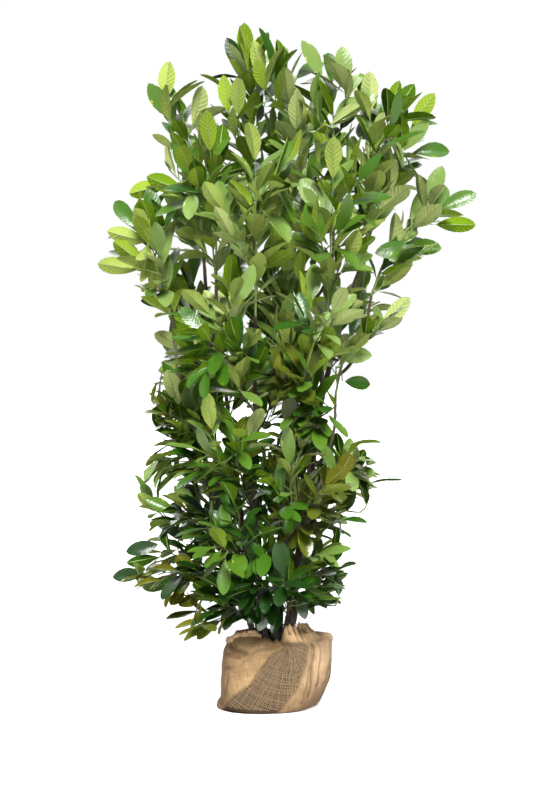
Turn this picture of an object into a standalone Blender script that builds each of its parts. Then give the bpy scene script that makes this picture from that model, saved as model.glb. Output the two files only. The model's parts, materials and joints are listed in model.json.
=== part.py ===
"""Cherry laurel on a hessian-wrapped root ball: a clump of stems out of one root, in separate solids.

Metres, +Z up, and -Y is the side that the plant is shown from. The origin is the middle of the root
ball's flat underside. The stems rise out of the soil, the boughs leave the stems, and each mass of
foliage grows on from the tip of a stem or bough, or from the side of a stem. Each mass keeps to the
room that lies nearer to its own leader than to any other.
"""

import math
import random

import bmesh
import bpy
import numpy as np
from mathutils import Vector
from mathutils.bvhtree import BVHTree

# ---------------------------------------------------------------- driving dimensions

GAP = 0.0003  # clearance between two solids that meet
SOIL_GAP = GAP * 1.4  # between the soil and the wrap, measured level

# Root ball: soil in a hessian wrap, whose hem is rolled on the left and bunched on the right.
BALL_HALF_WIDTH = 0.171
BALL_HALF_DEPTH = 0.172
BALL_SQUARENESS = 2.6  # exponent of the superellipse: 2 is round
BALL_FILL = 0.96  # the wrap's mean radius as a share of that superellipse, folds left out
BALL_LEAN = 0.007  # how far the right side leans out from bottom to top
FOLDS = ((5, 1.1, 0.0030), (9, -0.6, 0.0022))  # soft folds round the ball: count, phase and depth
SHOULDER_Z = 0.192
SOIL_TOP_Z = 0.190
UNDERSIDE_SHARE = 0.90  # the flat underside's radius as a share of the ball's
CORNER_HEIGHT = 0.022
CHAMFER_HEIGHT = 0.042  # how much higher the corner reaches on the right
CHAMFER_DEPTH = 0.020  # how far it cuts into the underside there
LIP_Z = SHOULDER_Z + 0.008  # where the wrap turns up into its hem
WRAP_THICKNESS = 0.003
WRAP_SIDES = 24
MOUTH = Vector((-0.008, 0.0))
MOUTH_RADIUS = 0.104
HEM_WIDTH = 0.005
HEM_RISE = 0.006
HEM_SLOPE = 0.002  # how much lower the hem's outer edge is than its inner one
HEM_RIPPLES = (7, 0.003)  # count round the mouth, and depth
ROLL_RISE = 0.012
ROLL_ANGLE = math.radians(205)
BUNCH_RISE = 0.036
BUNCH_ANGLE = math.radians(-50)

# Limbs.
STEM_SIDES = 7
STEM_SPANS = 7
STEM_TIP_RADIUS = 0.0048
BOUGH_SIDES = 5
BOUGH_SPANS = 3
BOUGH_RADIUS = 0.0056
LEADER_RADIUS = 0.0042  # of a mass's leader at its foot, and of the tip of the bough that bears it
BEND = 0.45  # how far a limb keeps its first heading before it bends, as a share of its length
SIDE_LEAN = 0.5  # how much a side shoot leans along the limb that bears it
SIDE_SHARE = 0.8  # the most that a bough's radius can be of its stem's
FLARE = 0.32  # how much wider a stem is where it meets the soil
FLARE_HEIGHT = 0.035

# Foliage.
SPAN_LENGTH = 0.12  # of one straight span of a leader
SHORT_TWIG = 0.11  # a side twig shorter than this is straight, and a longer one has two spans
TWIG_SIDES = 3
TWIG_RADIUS = 0.0034
TWIG_TIP_RADIUS = 0.0022
TWIG_LENGTH = 0.19
SHORTEST_TWIG = 0.05
TWIG_TAPER = (1.1, 0.5)  # share of that length at the leader's foot, and what is lost by its tip
TWIG_SPACING = 0.08
FIRST_TWIG = 0.10  # where the first side twig leaves its leader, as a share of its length
LAST_TWIG = 0.80
DIVERGENCE = math.radians(46)
GOLDEN_ANGLE = math.radians(137.5)
TURN_JITTER = 0.4  # of the golden angle, from one side twig to the next
UPWARD_PULL = 0.45
SHRINK = 0.8  # how much a twig without room is shortened before it is tried again
LEAF_LENGTH = 0.155
LEAF_WIDTH = 0.085
LEAF_THICKNESS = 0.0034
LEAF_ROOT_DEPTH = 0.0010
LEAF_SPACING = 0.034
LEAF_SIZES = (0.92, 1.08)
LEAF_SPREAD = (64, 36, 7)  # degrees from the twig at its foot and at its tip, and the jitter
END_LEAF_SPREAD = math.radians(8)
FLATNESS = 0.4  # how far the leaves on a level twig lie in one flat spray
DROOP = 0.6  # how far they hang there
MOST_LEAVES = 20  # on one mass
FIRST_LEAF = 0.16  # how far up its twig the lowest leaf sits, as a share of its length
WIDEST = 0.48  # where a leaf is widest, as a share of its length
TIP_AT = 0.97  # where its blunt tip is cut off
TIP_WIDTH = 0.36  # the width of that tip, as a share of its greatest width
LEAF_TRIES = (  # shares of the spread and of the size, and a turn round the twig in degrees
    (1.0, 1.0, 0),
    (0.7, 1.0, 35),
    (0.7, 1.0, -35),
    (0.4, 1.0, 0),
    (1.1, 0.95, 75),
    (1.1, 0.95, -75),
    (0.5, 0.9, 110),
    (0.5, 0.9, -110),
    (0.2, 0.85, 0),
)
REACH = 0.18  # how far a mass reaches from its leader
ROOM_GAP = 0.004  # how much nearer a leaf is to its own leader than to any other
LIMB_CLEARANCE = 0.0015
BALL_CLEAR = (0.195, 0.245)  # no leaf lies within this radius below this height

GROUND = SOIL_TOP_Z + GAP
STEMS = {
    # name: foot (x, y), knee, shoulder and tip, and the radius at the foot
    "stem_left": (
        (-0.062, -0.016), (-0.165, -0.035, 0.58), (-0.192, -0.045, 0.98), (-0.215, -0.035, 1.34), 0.0100
    ),
    "stem_middle": (
        (-0.036, 0.022), (-0.072, 0.035, 0.60), (-0.056, 0.050, 1.02), (-0.066, 0.035, 1.42), 0.0105
    ),
    "stem_thick": (
        (-0.002, -0.004), (0.030, -0.008, 0.60), (0.066, -0.010, 1.02), (0.084, -0.020, 1.40), 0.0145
    ),
    "stem_right": (
        (0.040, 0.012), (0.085, 0.030, 0.58), (0.155, 0.040, 0.98), (0.265, 0.040, 1.35), 0.0105
    ),
    "stem_front": (
        (-0.030, -0.046), (-0.060, -0.130, 0.52), (-0.062, -0.190, 0.86), (-0.060, -0.225, 1.16), 0.0090
    ),
    "stem_front_right": (
        (0.022, -0.042), (0.076, -0.120, 0.50), (0.118, -0.175, 0.82), (0.142, -0.205, 1.12), 0.0090
    ),
    "stem_back": (
        (0.010, 0.046), (0.030, 0.140, 0.56), (0.060, 0.195, 0.94), (0.085, 0.230, 1.28), 0.0100
    ),
    "stem_back_left": (
        (-0.050, 0.056), (-0.105, 0.140, 0.54), (-0.150, 0.195, 0.88), (-0.180, 0.225, 1.20), 0.0092
    ),
}
BOUGHS = {
    # name: the stem, the height where it leaves it, and the bough's tip
    "bough_crown_right": ("stem_thick", 1.18, (0.170, -0.055, 1.46)),
    "bough_right_high": ("stem_right", 1.12, (0.262, -0.070, 1.34)),
    "bough_right_arch": ("stem_right", 0.96, (0.285, -0.010, 1.225)),
    "bough_right_middle": ("stem_right", 0.70, (0.178, -0.025, 0.930)),
    "bough_right_skirt": ("stem_right", 0.41, (0.138, 0.025, 0.510)),
    "bough_left_front": ("stem_left", 1.06, (-0.175, -0.130, 1.28)),
    "bough_left_high": ("stem_left", 0.84, (-0.300, -0.055, 1.120)),
    "bough_left_middle": ("stem_left", 0.56, (-0.198, -0.085, 0.660)),
    "bough_left_skirt": ("stem_left", 0.37, (-0.165, -0.060, 0.460)),
    "bough_left_lowest": ("stem_left", 0.25, (-0.128, -0.032, 0.295)),
    "bough_back_middle": ("stem_back", 0.78, (0.150, 0.225, 0.960)),
}
MASSES = {
    # name: the limb that bears it, the height where it leaves a stem's side, or None at the
    # limb's tip, and the tip of its furthest leaf
    "leaves_crown_left": ("stem_left", None, (-0.305, -0.030, 1.925)),
    "leaves_crown_top": ("stem_middle", None, (-0.085, 0.000, 2.040)),
    "leaves_crown_middle": ("stem_thick", None, (0.000, -0.050, 2.000)),
    "leaves_crown_right": ("bough_crown_right", None, (0.165, -0.040, 1.975)),
    "leaves_right_high": ("bough_right_high", None, (0.280, -0.090, 1.900)),
    "leaves_crown_far_right": ("stem_right", None, (0.440, 0.030, 1.870)),
    "leaves_right_arch": ("bough_right_arch", None, (0.535, -0.020, 1.585)),
    "leaves_front_high": ("stem_front", None, (-0.060, -0.300, 1.720)),
    "leaves_front_right_high": ("stem_front_right", None, (0.165, -0.290, 1.670)),
    "leaves_back_high": ("stem_back", None, (0.115, 0.310, 1.920)),
    "leaves_back_left_high": ("stem_back_left", None, (-0.240, 0.300, 1.850)),
    "leaves_left_front": ("bough_left_front", None, (-0.195, -0.190, 1.760)),
    "leaves_left_high": ("bough_left_high", None, (-0.425, -0.060, 1.540)),
    "leaves_left_inner": ("stem_left", 1.00, (-0.290, 0.080, 1.420)),
    "leaves_left_waist": ("stem_left", 0.70, (-0.345, -0.115, 1.085)),
    "leaves_left_middle": ("bough_left_middle", None, (-0.400, -0.105, 0.880)),
    "leaves_left_skirt": ("bough_left_skirt", None, (-0.400, -0.070, 0.690)),
    "leaves_left_low": ("stem_left", 0.33, (-0.375, 0.060, 0.560)),
    "leaves_left_lowest": ("bough_left_lowest", None, (-0.480, -0.070, 0.485)),
    "leaves_right_middle": ("bough_right_middle", None, (0.335, -0.040, 1.275)),
    "leaves_right_low": ("stem_right", 0.56, (0.300, 0.000, 0.840)),
    "leaves_right_skirt": ("bough_right_skirt", None, (0.345, 0.020, 0.690)),
    "leaves_right_lowest": ("stem_right", 0.26, (0.250, 0.040, 0.385)),
    "leaves_right_low_front": ("stem_front_right", 0.34, (0.165, -0.210, 0.590)),
    "leaves_front_middle": ("stem_front", 0.88, (-0.150, -0.340, 1.370)),
    "leaves_front_waist": ("stem_front", 0.60, (-0.150, -0.370, 0.990)),
    "leaves_front_skirt": ("stem_front", 0.38, (-0.150, -0.380, 0.720)),
    "leaves_front_right_middle": ("stem_front_right", 0.80, (0.070, -0.370, 1.290)),
    "leaves_front_right_skirt": ("stem_front_right", 0.50, (0.040, -0.370, 0.860)),
    "leaves_front_low": ("stem_front_right", 0.27, (0.010, -0.360, 0.500)),
    "leaves_front_lowest": ("stem_front", 0.26, (-0.250, -0.270, 0.360)),
    "leaves_heart": ("stem_middle", 0.80, (-0.010, 0.140, 1.400)),
    "leaves_heart_low": ("stem_thick", 0.46, (-0.010, 0.120, 0.900)),
    "leaves_heart_front": ("stem_thick", 0.92, (0.020, -0.130, 1.470)),
    "leaves_back_middle": ("bough_back_middle", None, (0.250, 0.340, 1.320)),
    "leaves_back_left_middle": ("stem_back_left", 0.78, (-0.290, 0.310, 1.220)),
    "leaves_back_left_skirt": ("stem_back_left", 0.42, (-0.260, 0.330, 0.780)),
    "leaves_back_skirt": ("stem_back", 0.44, (0.130, 0.350, 0.800)),
    "leaves_back_lowest": ("stem_back", 0.27, (-0.050, 0.350, 0.440)),
}
COLOURS = {
    # material: base colour and roughness
    "hessian": ((0.46, 0.31, 0.17), 0.95),
    "soil": ((0.05, 0.032, 0.02), 0.95),
    "bark": ((0.085, 0.06, 0.045), 0.8),
    "young_bark": ((0.16, 0.14, 0.06), 0.65),
    "foliage": ((0.12, 0.22, 0.035), 0.45),
}


# ---------------------------------------------------------------- scene and material helpers


def clear_scene():
    for thing in list(bpy.data.objects):
        bpy.data.objects.remove(thing)


def material(name):
    """The Principled material of that name, made on first use."""
    made = bpy.data.materials.get(name)
    if made:
        return made
    colour, roughness = COLOURS[name]
    made = bpy.data.materials.new(name)
    made.use_nodes = True
    shader = made.node_tree.nodes["Principled BSDF"]
    shader.inputs["Base Color"].default_value = (*colour, 1)
    shader.inputs["Roughness"].default_value = roughness
    shader.inputs["Metallic"].default_value = 0.0
    return made


def add_object(name, points, faces, material_name):
    mesh = bpy.data.meshes.new(name)
    mesh.from_pydata([tuple(point) for point in points], [], faces)
    mesh.materials.append(material(material_name))
    made = bpy.data.objects.new(name, mesh)
    bpy.context.scene.collection.objects.link(made)
    return made


def add_boolean(made, operation, solver="EXACT", **operand):
    """Puts a live Boolean modifier on an object."""
    modifier = made.modifiers.new(operation.lower(), "BOOLEAN")
    modifier.operation = operation
    modifier.solver = solver
    for key, value in operand.items():
        setattr(modifier, key, value)
    return modifier


def shade_round(made):
    made.data.shade_smooth()
    made.data.set_sharp_from_angle(angle=math.radians(50))


# ---------------------------------------------------------------- curves and tubes


def across(direction):
    """Two unit vectors square to a direction and to each other."""
    side = direction.cross(Vector((0, 0, 1)))
    if side.length < 0.05:
        side = direction.cross(Vector((0, 1, 0)))
    side.normalize()
    return side, side.cross(direction).normalized()


def spline(points, t):
    """The point at share t of a smooth curve through the points."""
    spans = len(points) - 1
    at = min(int(t * spans), spans - 1)
    u = t * spans - at
    p1, p2 = points[at], points[at + 1]
    p0 = points[at - 1] if at else p1 * 2 - p2
    p3 = points[at + 2] if at + 2 < len(points) else p2 * 2 - p1
    linear = (p2 - p0) * u
    square = (p0 * 2 - p1 * 5 + p2 * 4 - p3) * u**2
    cubic = (p1 * 3 - p0 - p2 * 3 + p3) * u**3
    return p1 + (linear + square + cubic) * 0.5


def bent(start, heading, end, spans):
    """The points of a limb that leaves start along heading and bends round to end."""
    control = start + heading * (end - start).length * BEND
    shares = [i / spans for i in range(spans + 1)]
    return [start * (1 - t) ** 2 + control * 2 * t * (1 - t) + end * t**2 for t in shares]


def point_along(path, t):
    """The point and the heading at share t of a path."""
    spans = len(path) - 1
    at = min(int(t * spans), spans - 1)
    return path[at].lerp(path[at + 1], t * spans - at), (path[at + 1] - path[at]).normalized()


def between(first, last, count):
    """Values that run evenly from first to last."""
    return [first + (last - first) * i / (count - 1) for i in range(count)]


def tube(path, radii, sides, heading=None):
    """Points and faces of a closed tube along a path, with its foot square to the heading."""
    along = (heading or path[1] - path[0]).normalized()
    first, _ = across(along)
    points, faces = [], []
    for i, centre in enumerate(path):
        if i:
            along = (path[min(i + 1, len(path) - 1)] - path[i - 1]).normalized()
        first = (first - along * first.dot(along)).normalized()
        second = along.cross(first)
        for k in range(sides):
            turn = 2 * math.pi * k / sides
            points.append(centre + (first * math.cos(turn) + second * math.sin(turn)) * radii[i])
    for low in range(0, (len(path) - 1) * sides, sides):
        for k in range(sides):
            after = (k + 1) % sides
            faces.append((low + k, low + after, low + sides + after, low + sides + k))
    last = (len(path) - 1) * sides
    faces.append(tuple(reversed(range(sides))))
    faces.append(tuple(range(last, last + sides)))
    return points, faces


def tree_of(points, faces):
    return BVHTree.FromPolygons(points, faces)


def segment_distances(points, starts, ends):
    """The distance from every point to every segment."""
    spans = ends - starts
    offsets = points[:, None] - starts[None]
    shares = (offsets * spans).sum(-1) / (spans * spans).sum(-1)
    nearest = offsets - np.clip(shares, 0, 1)[..., None] * spans
    return np.linalg.norm(nearest, axis=-1)


# ---------------------------------------------------------------- stems and boughs


class Limb:
    """A stem or bough: its centre line, its radii and the way its tip points."""

    def __init__(self, path, radii):
        self.path = path
        self.radii = radii
        self.tip = path[-1]
        self.heading = (path[-1] - path[-2]).normalized()

    def tree(self):
        """The limb's skin, grown by the clearance that leaves keep, for testing what crosses it."""
        grown = [radius * 1.06 + LIMB_CLEARANCE for radius in self.radii]
        return tree_of(*tube(self.path, grown, STEM_SIDES))

    def at_height(self, height):
        """The centre point, the heading and the radius where the limb passes a height."""
        spans = zip(self.path, self.path[1:], self.radii, self.radii[1:])
        for low, high, low_radius, high_radius in spans:
            if low.z <= height <= high.z:
                share = (height - low.z) / (high.z - low.z)
                radius = low_radius + (high_radius - low_radius) * share
                return low.lerp(high, share), (high - low).normalized(), radius
        raise ValueError(f"no point at {height}")


def side_heading(start, along, tip):
    """The way a side shoot leaves a limb towards a tip: outward, and a little along the limb."""
    outward = Vector((tip.x - start.x, tip.y - start.y, 0)).normalized()
    return (outward + along * SIDE_LEAN).normalized()


def stem_limb(foot, knee, shoulder, tip, radius):
    corners = [Vector((*foot, GROUND)), Vector(knee), Vector(shoulder), Vector(tip)]
    path = [spline(corners, i / STEM_SPANS) for i in range(STEM_SPANS + 1)]
    climb = tip[2] - GROUND
    path.insert(1, path[0].lerp(path[1], FLARE_HEIGHT / (path[1].z - GROUND)))
    radii = [radius + (STEM_TIP_RADIUS - radius) * (point.z - GROUND) / climb for point in path]
    radii[0] *= 1 + FLARE
    return Limb(path, radii)


def bough_limb(stem, height, tip):
    start, along, radius = stem.at_height(height)
    tip = Vector(tip)
    path = bent(start, side_heading(start, along, tip), tip, BOUGH_SPANS)
    radii = between(min(BOUGH_RADIUS, radius * SIDE_SHARE), LEADER_RADIUS, len(path))
    return Limb(path, radii)


def build_stem(name, limb):
    points, faces = tube(limb.path, limb.radii, STEM_SIDES, Vector((0, 0, 1)))
    made = add_object(name, points, faces, "bark")
    shade_round(made)


def build_stem_cutter(name, limb):
    """The stem's shape with the clearance all round, which cuts the foot of what leaves its side."""
    grown = [radius + GAP / math.cos(math.pi / STEM_SIDES) for radius in limb.radii]
    points, faces = tube(limb.path, grown, STEM_SIDES, Vector((0, 0, 1)))
    made = add_object(name + "_cutter", points, faces, "bark")
    made.hide_render = True
    made.display_type = "WIRE"
    return made


def build_bough(name, limb, cutter):
    points, faces = tube(limb.path, limb.radii, BOUGH_SIDES)
    made = add_object(name, points, faces, "young_bark")
    shade_round(made)
    add_boolean(made, "DIFFERENCE", object=cutter)


# ---------------------------------------------------------------- foliage


class Crown:
    """The limbs and the leaders of all masses, which every twig and leaf is tested against."""

    def __init__(self, limbs, leaders):
        self.limb_trees = [limb.tree() for limb in limbs]
        spans = [(name, *span) for name, path in leaders.items() for span in zip(path, path[1:])]
        self.owners = np.array([name for name, _, _ in spans])
        self.leader_starts = np.array([start for _, start, _ in spans])
        self.leader_ends = np.array([end for _, _, end in spans])

    def has_room(self, name, points):
        """True if the points lie in the mass's own room, and not beside the root ball."""
        points = np.array(points)
        low = points[:, 2] < BALL_CLEAR[1]
        if (low & (np.linalg.norm(points[:, :2], axis=1) < BALL_CLEAR[0])).any():
            return False
        away = segment_distances(points, self.leader_starts, self.leader_ends)
        own = away[:, self.owners == name].min(axis=1)
        other = away[:, self.owners != name].min(axis=1)
        return own.max() < REACH and (other - own).min() > ROOM_GAP

    def clear_of_limbs(self, tree):
        return not any(tree.overlap(limb) for limb in self.limb_trees)


def leaf_solid(root, direction, face_up, size):
    """A thin obovate blade of eight faces, with a flat underside and its root at a point."""
    side = face_up.cross(direction)
    base = root - direction * LEAF_ROOT_DEPTH
    length, width = LEAF_LENGTH * size, LEAF_WIDTH * size

    def place(along, sideways, up):
        return base + direction * (length * along) + side * (width * sideways) + face_up * up

    points = [
        base,
        place(WIDEST, -0.5, 0),
        place(TIP_AT, -TIP_WIDTH / 2, 0),
        place(TIP_AT, TIP_WIDTH / 2, 0),
        place(WIDEST, 0.5, 0),
        place(0.5, 0, LEAF_THICKNESS),
    ]
    upper = [(5, 0, 1), (5, 1, 2), (5, 2, 3), (5, 3, 4), (5, 4, 0)]
    under = [(0, 4, 1), (1, 4, 2), (2, 4, 3)]
    return points, upper + under


def edge_points(points):
    """A blade's corners and the points half way between them."""
    corners = points[:5]
    return corners[1:] + [a.lerp(b, 0.5) for a, b in zip(corners, corners[1:] + corners[:1])]


def leaf_places(path, rng):
    """Leaves in a spiral up a twig: root, axis, turn round it, spread from it, and size."""
    length = (path[-1] - path[0]).length * (1 - FIRST_LEAF)
    count = max(2, round(length / LEAF_SPACING) + 1)
    phase = rng.uniform(0, 2 * math.pi)
    low, high, jitter = LEAF_SPREAD
    for i, t in enumerate(between(FIRST_LEAF, 1, count)):
        root, axis = point_along(path, t)
        spread = math.radians(low + (high - low) * t + rng.uniform(-jitter, jitter))
        size = rng.uniform(*LEAF_SIZES)
        if i == count - 1:
            spread, size = END_LEAF_SPREAD, 1.0
        yield root, axis, phase + i * GOLDEN_ANGLE, spread, size


def leaf_pose(axis, turn, spread):
    """The way a leaf points and the way its upper side faces: to the axis, or up on a level twig."""
    one, two = across(axis)
    radial = one * math.cos(turn) + two * math.sin(turn)
    level = 1 - abs(axis.z)
    radial = Vector((radial.x, radial.y, radial.z * (1 - FLATNESS * level))).normalized()
    direction = axis * math.cos(spread) + radial * math.sin(spread)
    direction = (direction - Vector((0, 0, DROOP * level))).normalized()
    inward = (axis - direction * axis.dot(direction)).normalized()
    upward = Vector((0, 0, 1)) - direction * direction.z
    face_up = inward * (1 - level) + upward * level
    return direction, (face_up - direction * face_up.dot(direction)).normalized()


def leader_path(start, heading, tip):
    """A mass's leader, which stops short of the tip by its end leaf."""
    finish = tip - (tip - start).normalized() * LEAF_LENGTH * TIP_AT
    return bent(start, heading, finish, max(2, round((finish - start).length / SPAN_LENGTH)))


def side_twig(name, k, root, axis, reach, crown):
    """A twig that leaves the leader and turns up, shortened until it has room, or None."""
    rng = random.Random(f"{name} twig {k}")
    one, two = across(axis)
    turn = (k + rng.uniform(0, TURN_JITTER)) * GOLDEN_ANGLE
    out = one * math.cos(turn) + two * math.sin(turn)
    reach *= rng.uniform(0.8, 1.0)
    while reach > SHORTEST_TWIG:
        heading = axis * math.cos(DIVERGENCE) + out * math.sin(DIVERGENCE)
        spans = 1 if reach < SHORT_TWIG else 2
        path = [root]
        for _ in range(spans):
            path.append(path[-1] + heading * (reach / spans))
            heading = (heading + Vector((0, 0, UPWARD_PULL / spans))).normalized()
        tree = tree_of(*tube(path, [TWIG_RADIUS] * len(path), TWIG_SIDES))
        tested = path[1:] + [path[0].lerp(path[1], 0.5)]
        if crown.has_room(name, tested) and crown.clear_of_limbs(tree):
            return path
        reach *= SHRINK
    return None


def twig_paths(name, leader, crown):
    """The leader and the side twigs in a spiral up it, the lowest of them the longest."""
    paths = [leader]
    length = sum((b - a).length for a, b in zip(leader, leader[1:]))
    count = max(3, round(length * (LAST_TWIG - FIRST_TWIG) / TWIG_SPACING) + 1)
    most, lost = TWIG_TAPER
    for k, share in enumerate(between(FIRST_TWIG, LAST_TWIG, count)):
        root, axis = point_along(leader, share)
        path = side_twig(name, k, root, axis, TWIG_LENGTH * (most - lost * share), crown)
        if path:
            paths.append(path)
    return paths


def thinned(items, most):
    """No more than so many of the items, picked evenly."""
    count = min(len(items), most)
    return [items[i * len(items) // count] for i in range(count)]


def mass_solids(name, leader, heading, crown):
    """The closed shapes of one mass: the leader, its leaves, and the side twigs that bear leaves."""
    paths = twig_paths(name, leader, crown)
    radii = between(LEADER_RADIUS, TWIG_TIP_RADIUS, len(leader))
    twigs = [tube(leader, radii, TWIG_SIDES, heading)]
    for path in paths[1:]:
        twigs.append(tube(path, between(TWIG_RADIUS, TWIG_TIP_RADIUS, len(path)), TWIG_SIDES))
    twig_trees = [tree_of(*twig) for twig in twigs]
    blades, blade_trees = [], []
    for k, path in enumerate(paths):
        rng = random.Random(f"{name} leaves {k}")
        others = twig_trees[:k] + twig_trees[k + 1 :]
        for root, axis, turn, spread, size in leaf_places(path, rng):
            for spread_share, size_share, shift in LEAF_TRIES:
                pose = leaf_pose(axis, turn + math.radians(shift), spread * spread_share)
                blade = leaf_solid(root, *pose, size * size_share)
                tree = tree_of(*blade)
                if not crown.has_room(name, edge_points(blade[0])) or not crown.clear_of_limbs(tree):
                    continue
                if any(tree.overlap(other) for other in others + blade_trees):
                    continue
                blades.append((k, blade))
                blade_trees.append(tree)
                break
        if k == 0:
            on_leader = len(blades)
    blades = blades[:on_leader] + thinned(blades[on_leader:], MOST_LEAVES - on_leader)
    bearing = sorted({0} | {k for k, _ in blades})
    return [twigs[k] for k in bearing] + [blade for _, blade in blades]


def keep_main_body(made):
    """Drops the loose scraps and the sealed hollows that a union can leave."""
    shape = bmesh.new()
    shape.from_mesh(made.data)
    left = set(shape.faces)
    bodies = []
    while left:
        front = [left.pop()]
        body = set(front)
        while front:
            around = {face for edge in front.pop().edges for face in edge.link_faces} & left
            left -= around
            body |= around
            front += around
        bodies.append(body)
    bodies.sort(key=len)
    scraps = [face for body in bodies[:-1] for face in body]
    bmesh.ops.delete(shape, geom=scraps, context="FACES")
    shape.to_mesh(made.data)
    shape.free()


def fuse(name, solids, material_name):
    """Joins closed shapes into one solid with one Boolean union on a collection."""
    made = add_object(name, *solids[0], material_name)
    group = bpy.data.collections.new(name + "_pieces")
    for i, (points, faces) in enumerate(solids[1:]):
        piece = add_object(f"{name}_{i}", points, faces, material_name)
        bpy.context.scene.collection.objects.unlink(piece)
        group.objects.link(piece)
    bpy.context.scene.collection.children.link(group)
    add_boolean(made, "UNION", operand_type="COLLECTION", collection=group)
    graph = bpy.context.evaluated_depsgraph_get()
    joined = bpy.data.meshes.new_from_object(made.evaluated_get(graph))
    made.modifiers.clear()
    made.data = joined
    for piece in list(group.objects):
        bpy.data.objects.remove(piece)
    bpy.data.collections.remove(group)
    keep_main_body(made)
    return made


def build_masses(limbs, cutters):
    """Every mass of foliage, each on the limb that bears it."""
    headings, leaders = {}, {}
    for name, (bearer, height, tip) in MASSES.items():
        limb, tip = limbs[bearer], Vector(tip)
        if height is None:
            start, headings[name] = limb.tip + limb.heading * GAP, limb.heading
        else:
            start, along, _ = limb.at_height(height)
            headings[name] = side_heading(start, along, tip)
        leaders[name] = leader_path(start, headings[name], tip)
    crown = Crown(list(limbs.values()), leaders)
    for name, (bearer, height, _) in MASSES.items():
        solids = mass_solids(name, leaders[name], headings[name], crown)
        made = fuse(name, solids, "foliage")
        if height is not None:
            add_boolean(made, "DIFFERENCE", object=cutters[bearer])


# ---------------------------------------------------------------- root ball


def ball_radius(turn, rise):
    """The ball's radius on one side at a share of its height, squarish, sagging and lightly folded."""
    c, s = math.cos(turn), math.sin(turn)
    squarish = (abs(c) ** BALL_SQUARENESS + abs(s) ** BALL_SQUARENESS) ** (-1 / BALL_SQUARENESS)
    radius = squarish * math.hypot(BALL_HALF_WIDTH * c, BALL_HALF_DEPTH * s) * BALL_FILL
    fold = sum(depth * math.sin(count * turn + phase) for count, phase, depth in FOLDS)
    return radius + fold * (0.3 + 0.7 * rise) + BALL_LEAN * c * (2 * rise - 1)


def bag_column(turn, inset):
    """Points up one side of the bag, from the edge of its underside to its shoulder."""
    way = Vector((math.cos(turn), math.sin(turn), 0))
    chamfer = max(0.0, math.cos(turn)) ** 2
    corner = CORNER_HEIGHT + CHAMFER_HEIGHT * chamfer
    foot = ball_radius(turn, 0)
    rows = [  # radius and height
        (foot * UNDERSIDE_SHARE - CHAMFER_DEPTH * chamfer, 0),
        (foot * 0.975, corner * 0.24),
        (ball_radius(turn, 0.3), corner),
        (ball_radius(turn, 0.6), SHOULDER_Z * 0.60),
        (ball_radius(turn, 0.9) * 0.985, SHOULDER_Z * 0.88),
        (ball_radius(turn, 1.0) * 0.87, LIP_Z),
    ]
    column = [way * (radius - inset) + Vector((0, 0, height)) for radius, height in rows]
    column[0].z += inset
    column[1].z += inset * 0.7
    column[-1].z -= inset * 1.4
    return column


def hem_columns(turn):
    """The outer and the inner point of the hem on one side."""
    way = Vector((math.cos(turn), math.sin(turn)))
    roll = max(0.0, math.cos(turn - ROLL_ANGLE)) ** 2
    bunch = max(0.0, math.cos(turn - BUNCH_ANGLE)) ** 6
    height = LIP_Z + HEM_RISE + ROLL_RISE * roll + BUNCH_RISE * bunch
    count, depth = HEM_RIPPLES
    inner = MOUTH + way * (MOUTH_RADIUS + depth * math.sin(count * turn))
    outer = inner + way * HEM_WIDTH
    return [Vector((*outer, height - HEM_SLOPE)), Vector((*inner, height))]


def lathe_like(name, columns, foot, top, material_name):
    """A closed skin from columns of points round the axis, with a point to close each end.

    Every four-sided patch is cut along the same diagonal, so that two skins nest evenly.
    """
    rows = len(columns[0])
    points = [foot, top] + [point for column in columns for point in column]
    faces = []
    for k in range(len(columns)):
        low, after = 2 + k * rows, 2 + (k + 1) % len(columns) * rows
        faces.append((0, after, low))
        faces.append((1, low + rows - 1, after + rows - 1))
        for row in range(rows - 1):
            a, b, c, d = low + row, after + row, after + row + 1, low + row + 1
            if points[d].z > points[a].z:
                faces += [(a, b, c), (a, c, d)]
            else:
                faces += [(a, b, d), (b, c, d)]
    return add_object(name, points, faces, material_name)


def build_root_ball():
    """The wrap is an open bag whose skin turns back at the hem; the soil fills it to a level top."""
    turns = [2 * math.pi * k / WRAP_SIDES for k in range(WRAP_SIDES)]
    wrap, soil = [], []
    for turn in turns:
        inside = bag_column(turn, WRAP_THICKNESS)
        wrap.append(bag_column(turn, 0) + hem_columns(turn) + inside[::-1])
        filling = bag_column(turn, WRAP_THICKNESS + SOIL_GAP)
        filling[-1].z = SOIL_TOP_Z
        soil.append(filling)
    centre = Vector((0, 0, 0))
    floor = Vector((0, 0, WRAP_THICKNESS))
    lathe_like("hessian_wrap", wrap, centre, floor, "hessian")
    low, high = Vector((0, 0, WRAP_THICKNESS + SOIL_GAP)), Vector((0, 0, SOIL_TOP_Z))
    lathe_like("root_ball_soil", soil, low, high, "soil")


# ---------------------------------------------------------------- assembly


def main():
    clear_scene()
    build_root_ball()
    limbs = {name: stem_limb(*sizes) for name, sizes in STEMS.items()}
    cutters = {name: build_stem_cutter(name, limb) for name, limb in limbs.items()}
    for name, limb in limbs.items():
        build_stem(name, limb)
    for name, (stem, height, tip) in BOUGHS.items():
        limbs[name] = bough_limb(limbs[stem], height, tip)
        build_bough(name, limbs[name], cutters[stem])
    build_masses(limbs, cutters)


main()
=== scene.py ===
"""Cherry laurel on a hessian-wrapped root ball: bark, twigs, leaves, soil and cloth over the solids.

The limbs, the leaders and the side twigs grow by the rule and from the sizes of the solids. Here they
are carried on to finer twigs and to leaves of life size, within the room of the mass that they
belong to. Metres, +Z up, and -Y is the side that the plant is shown from.
"""

import json
import random
from dataclasses import dataclass
from functools import cache, reduce
from math import atan2, ceil, cos, exp, hypot, pi, radians, sin
from typing import NamedTuple

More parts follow.
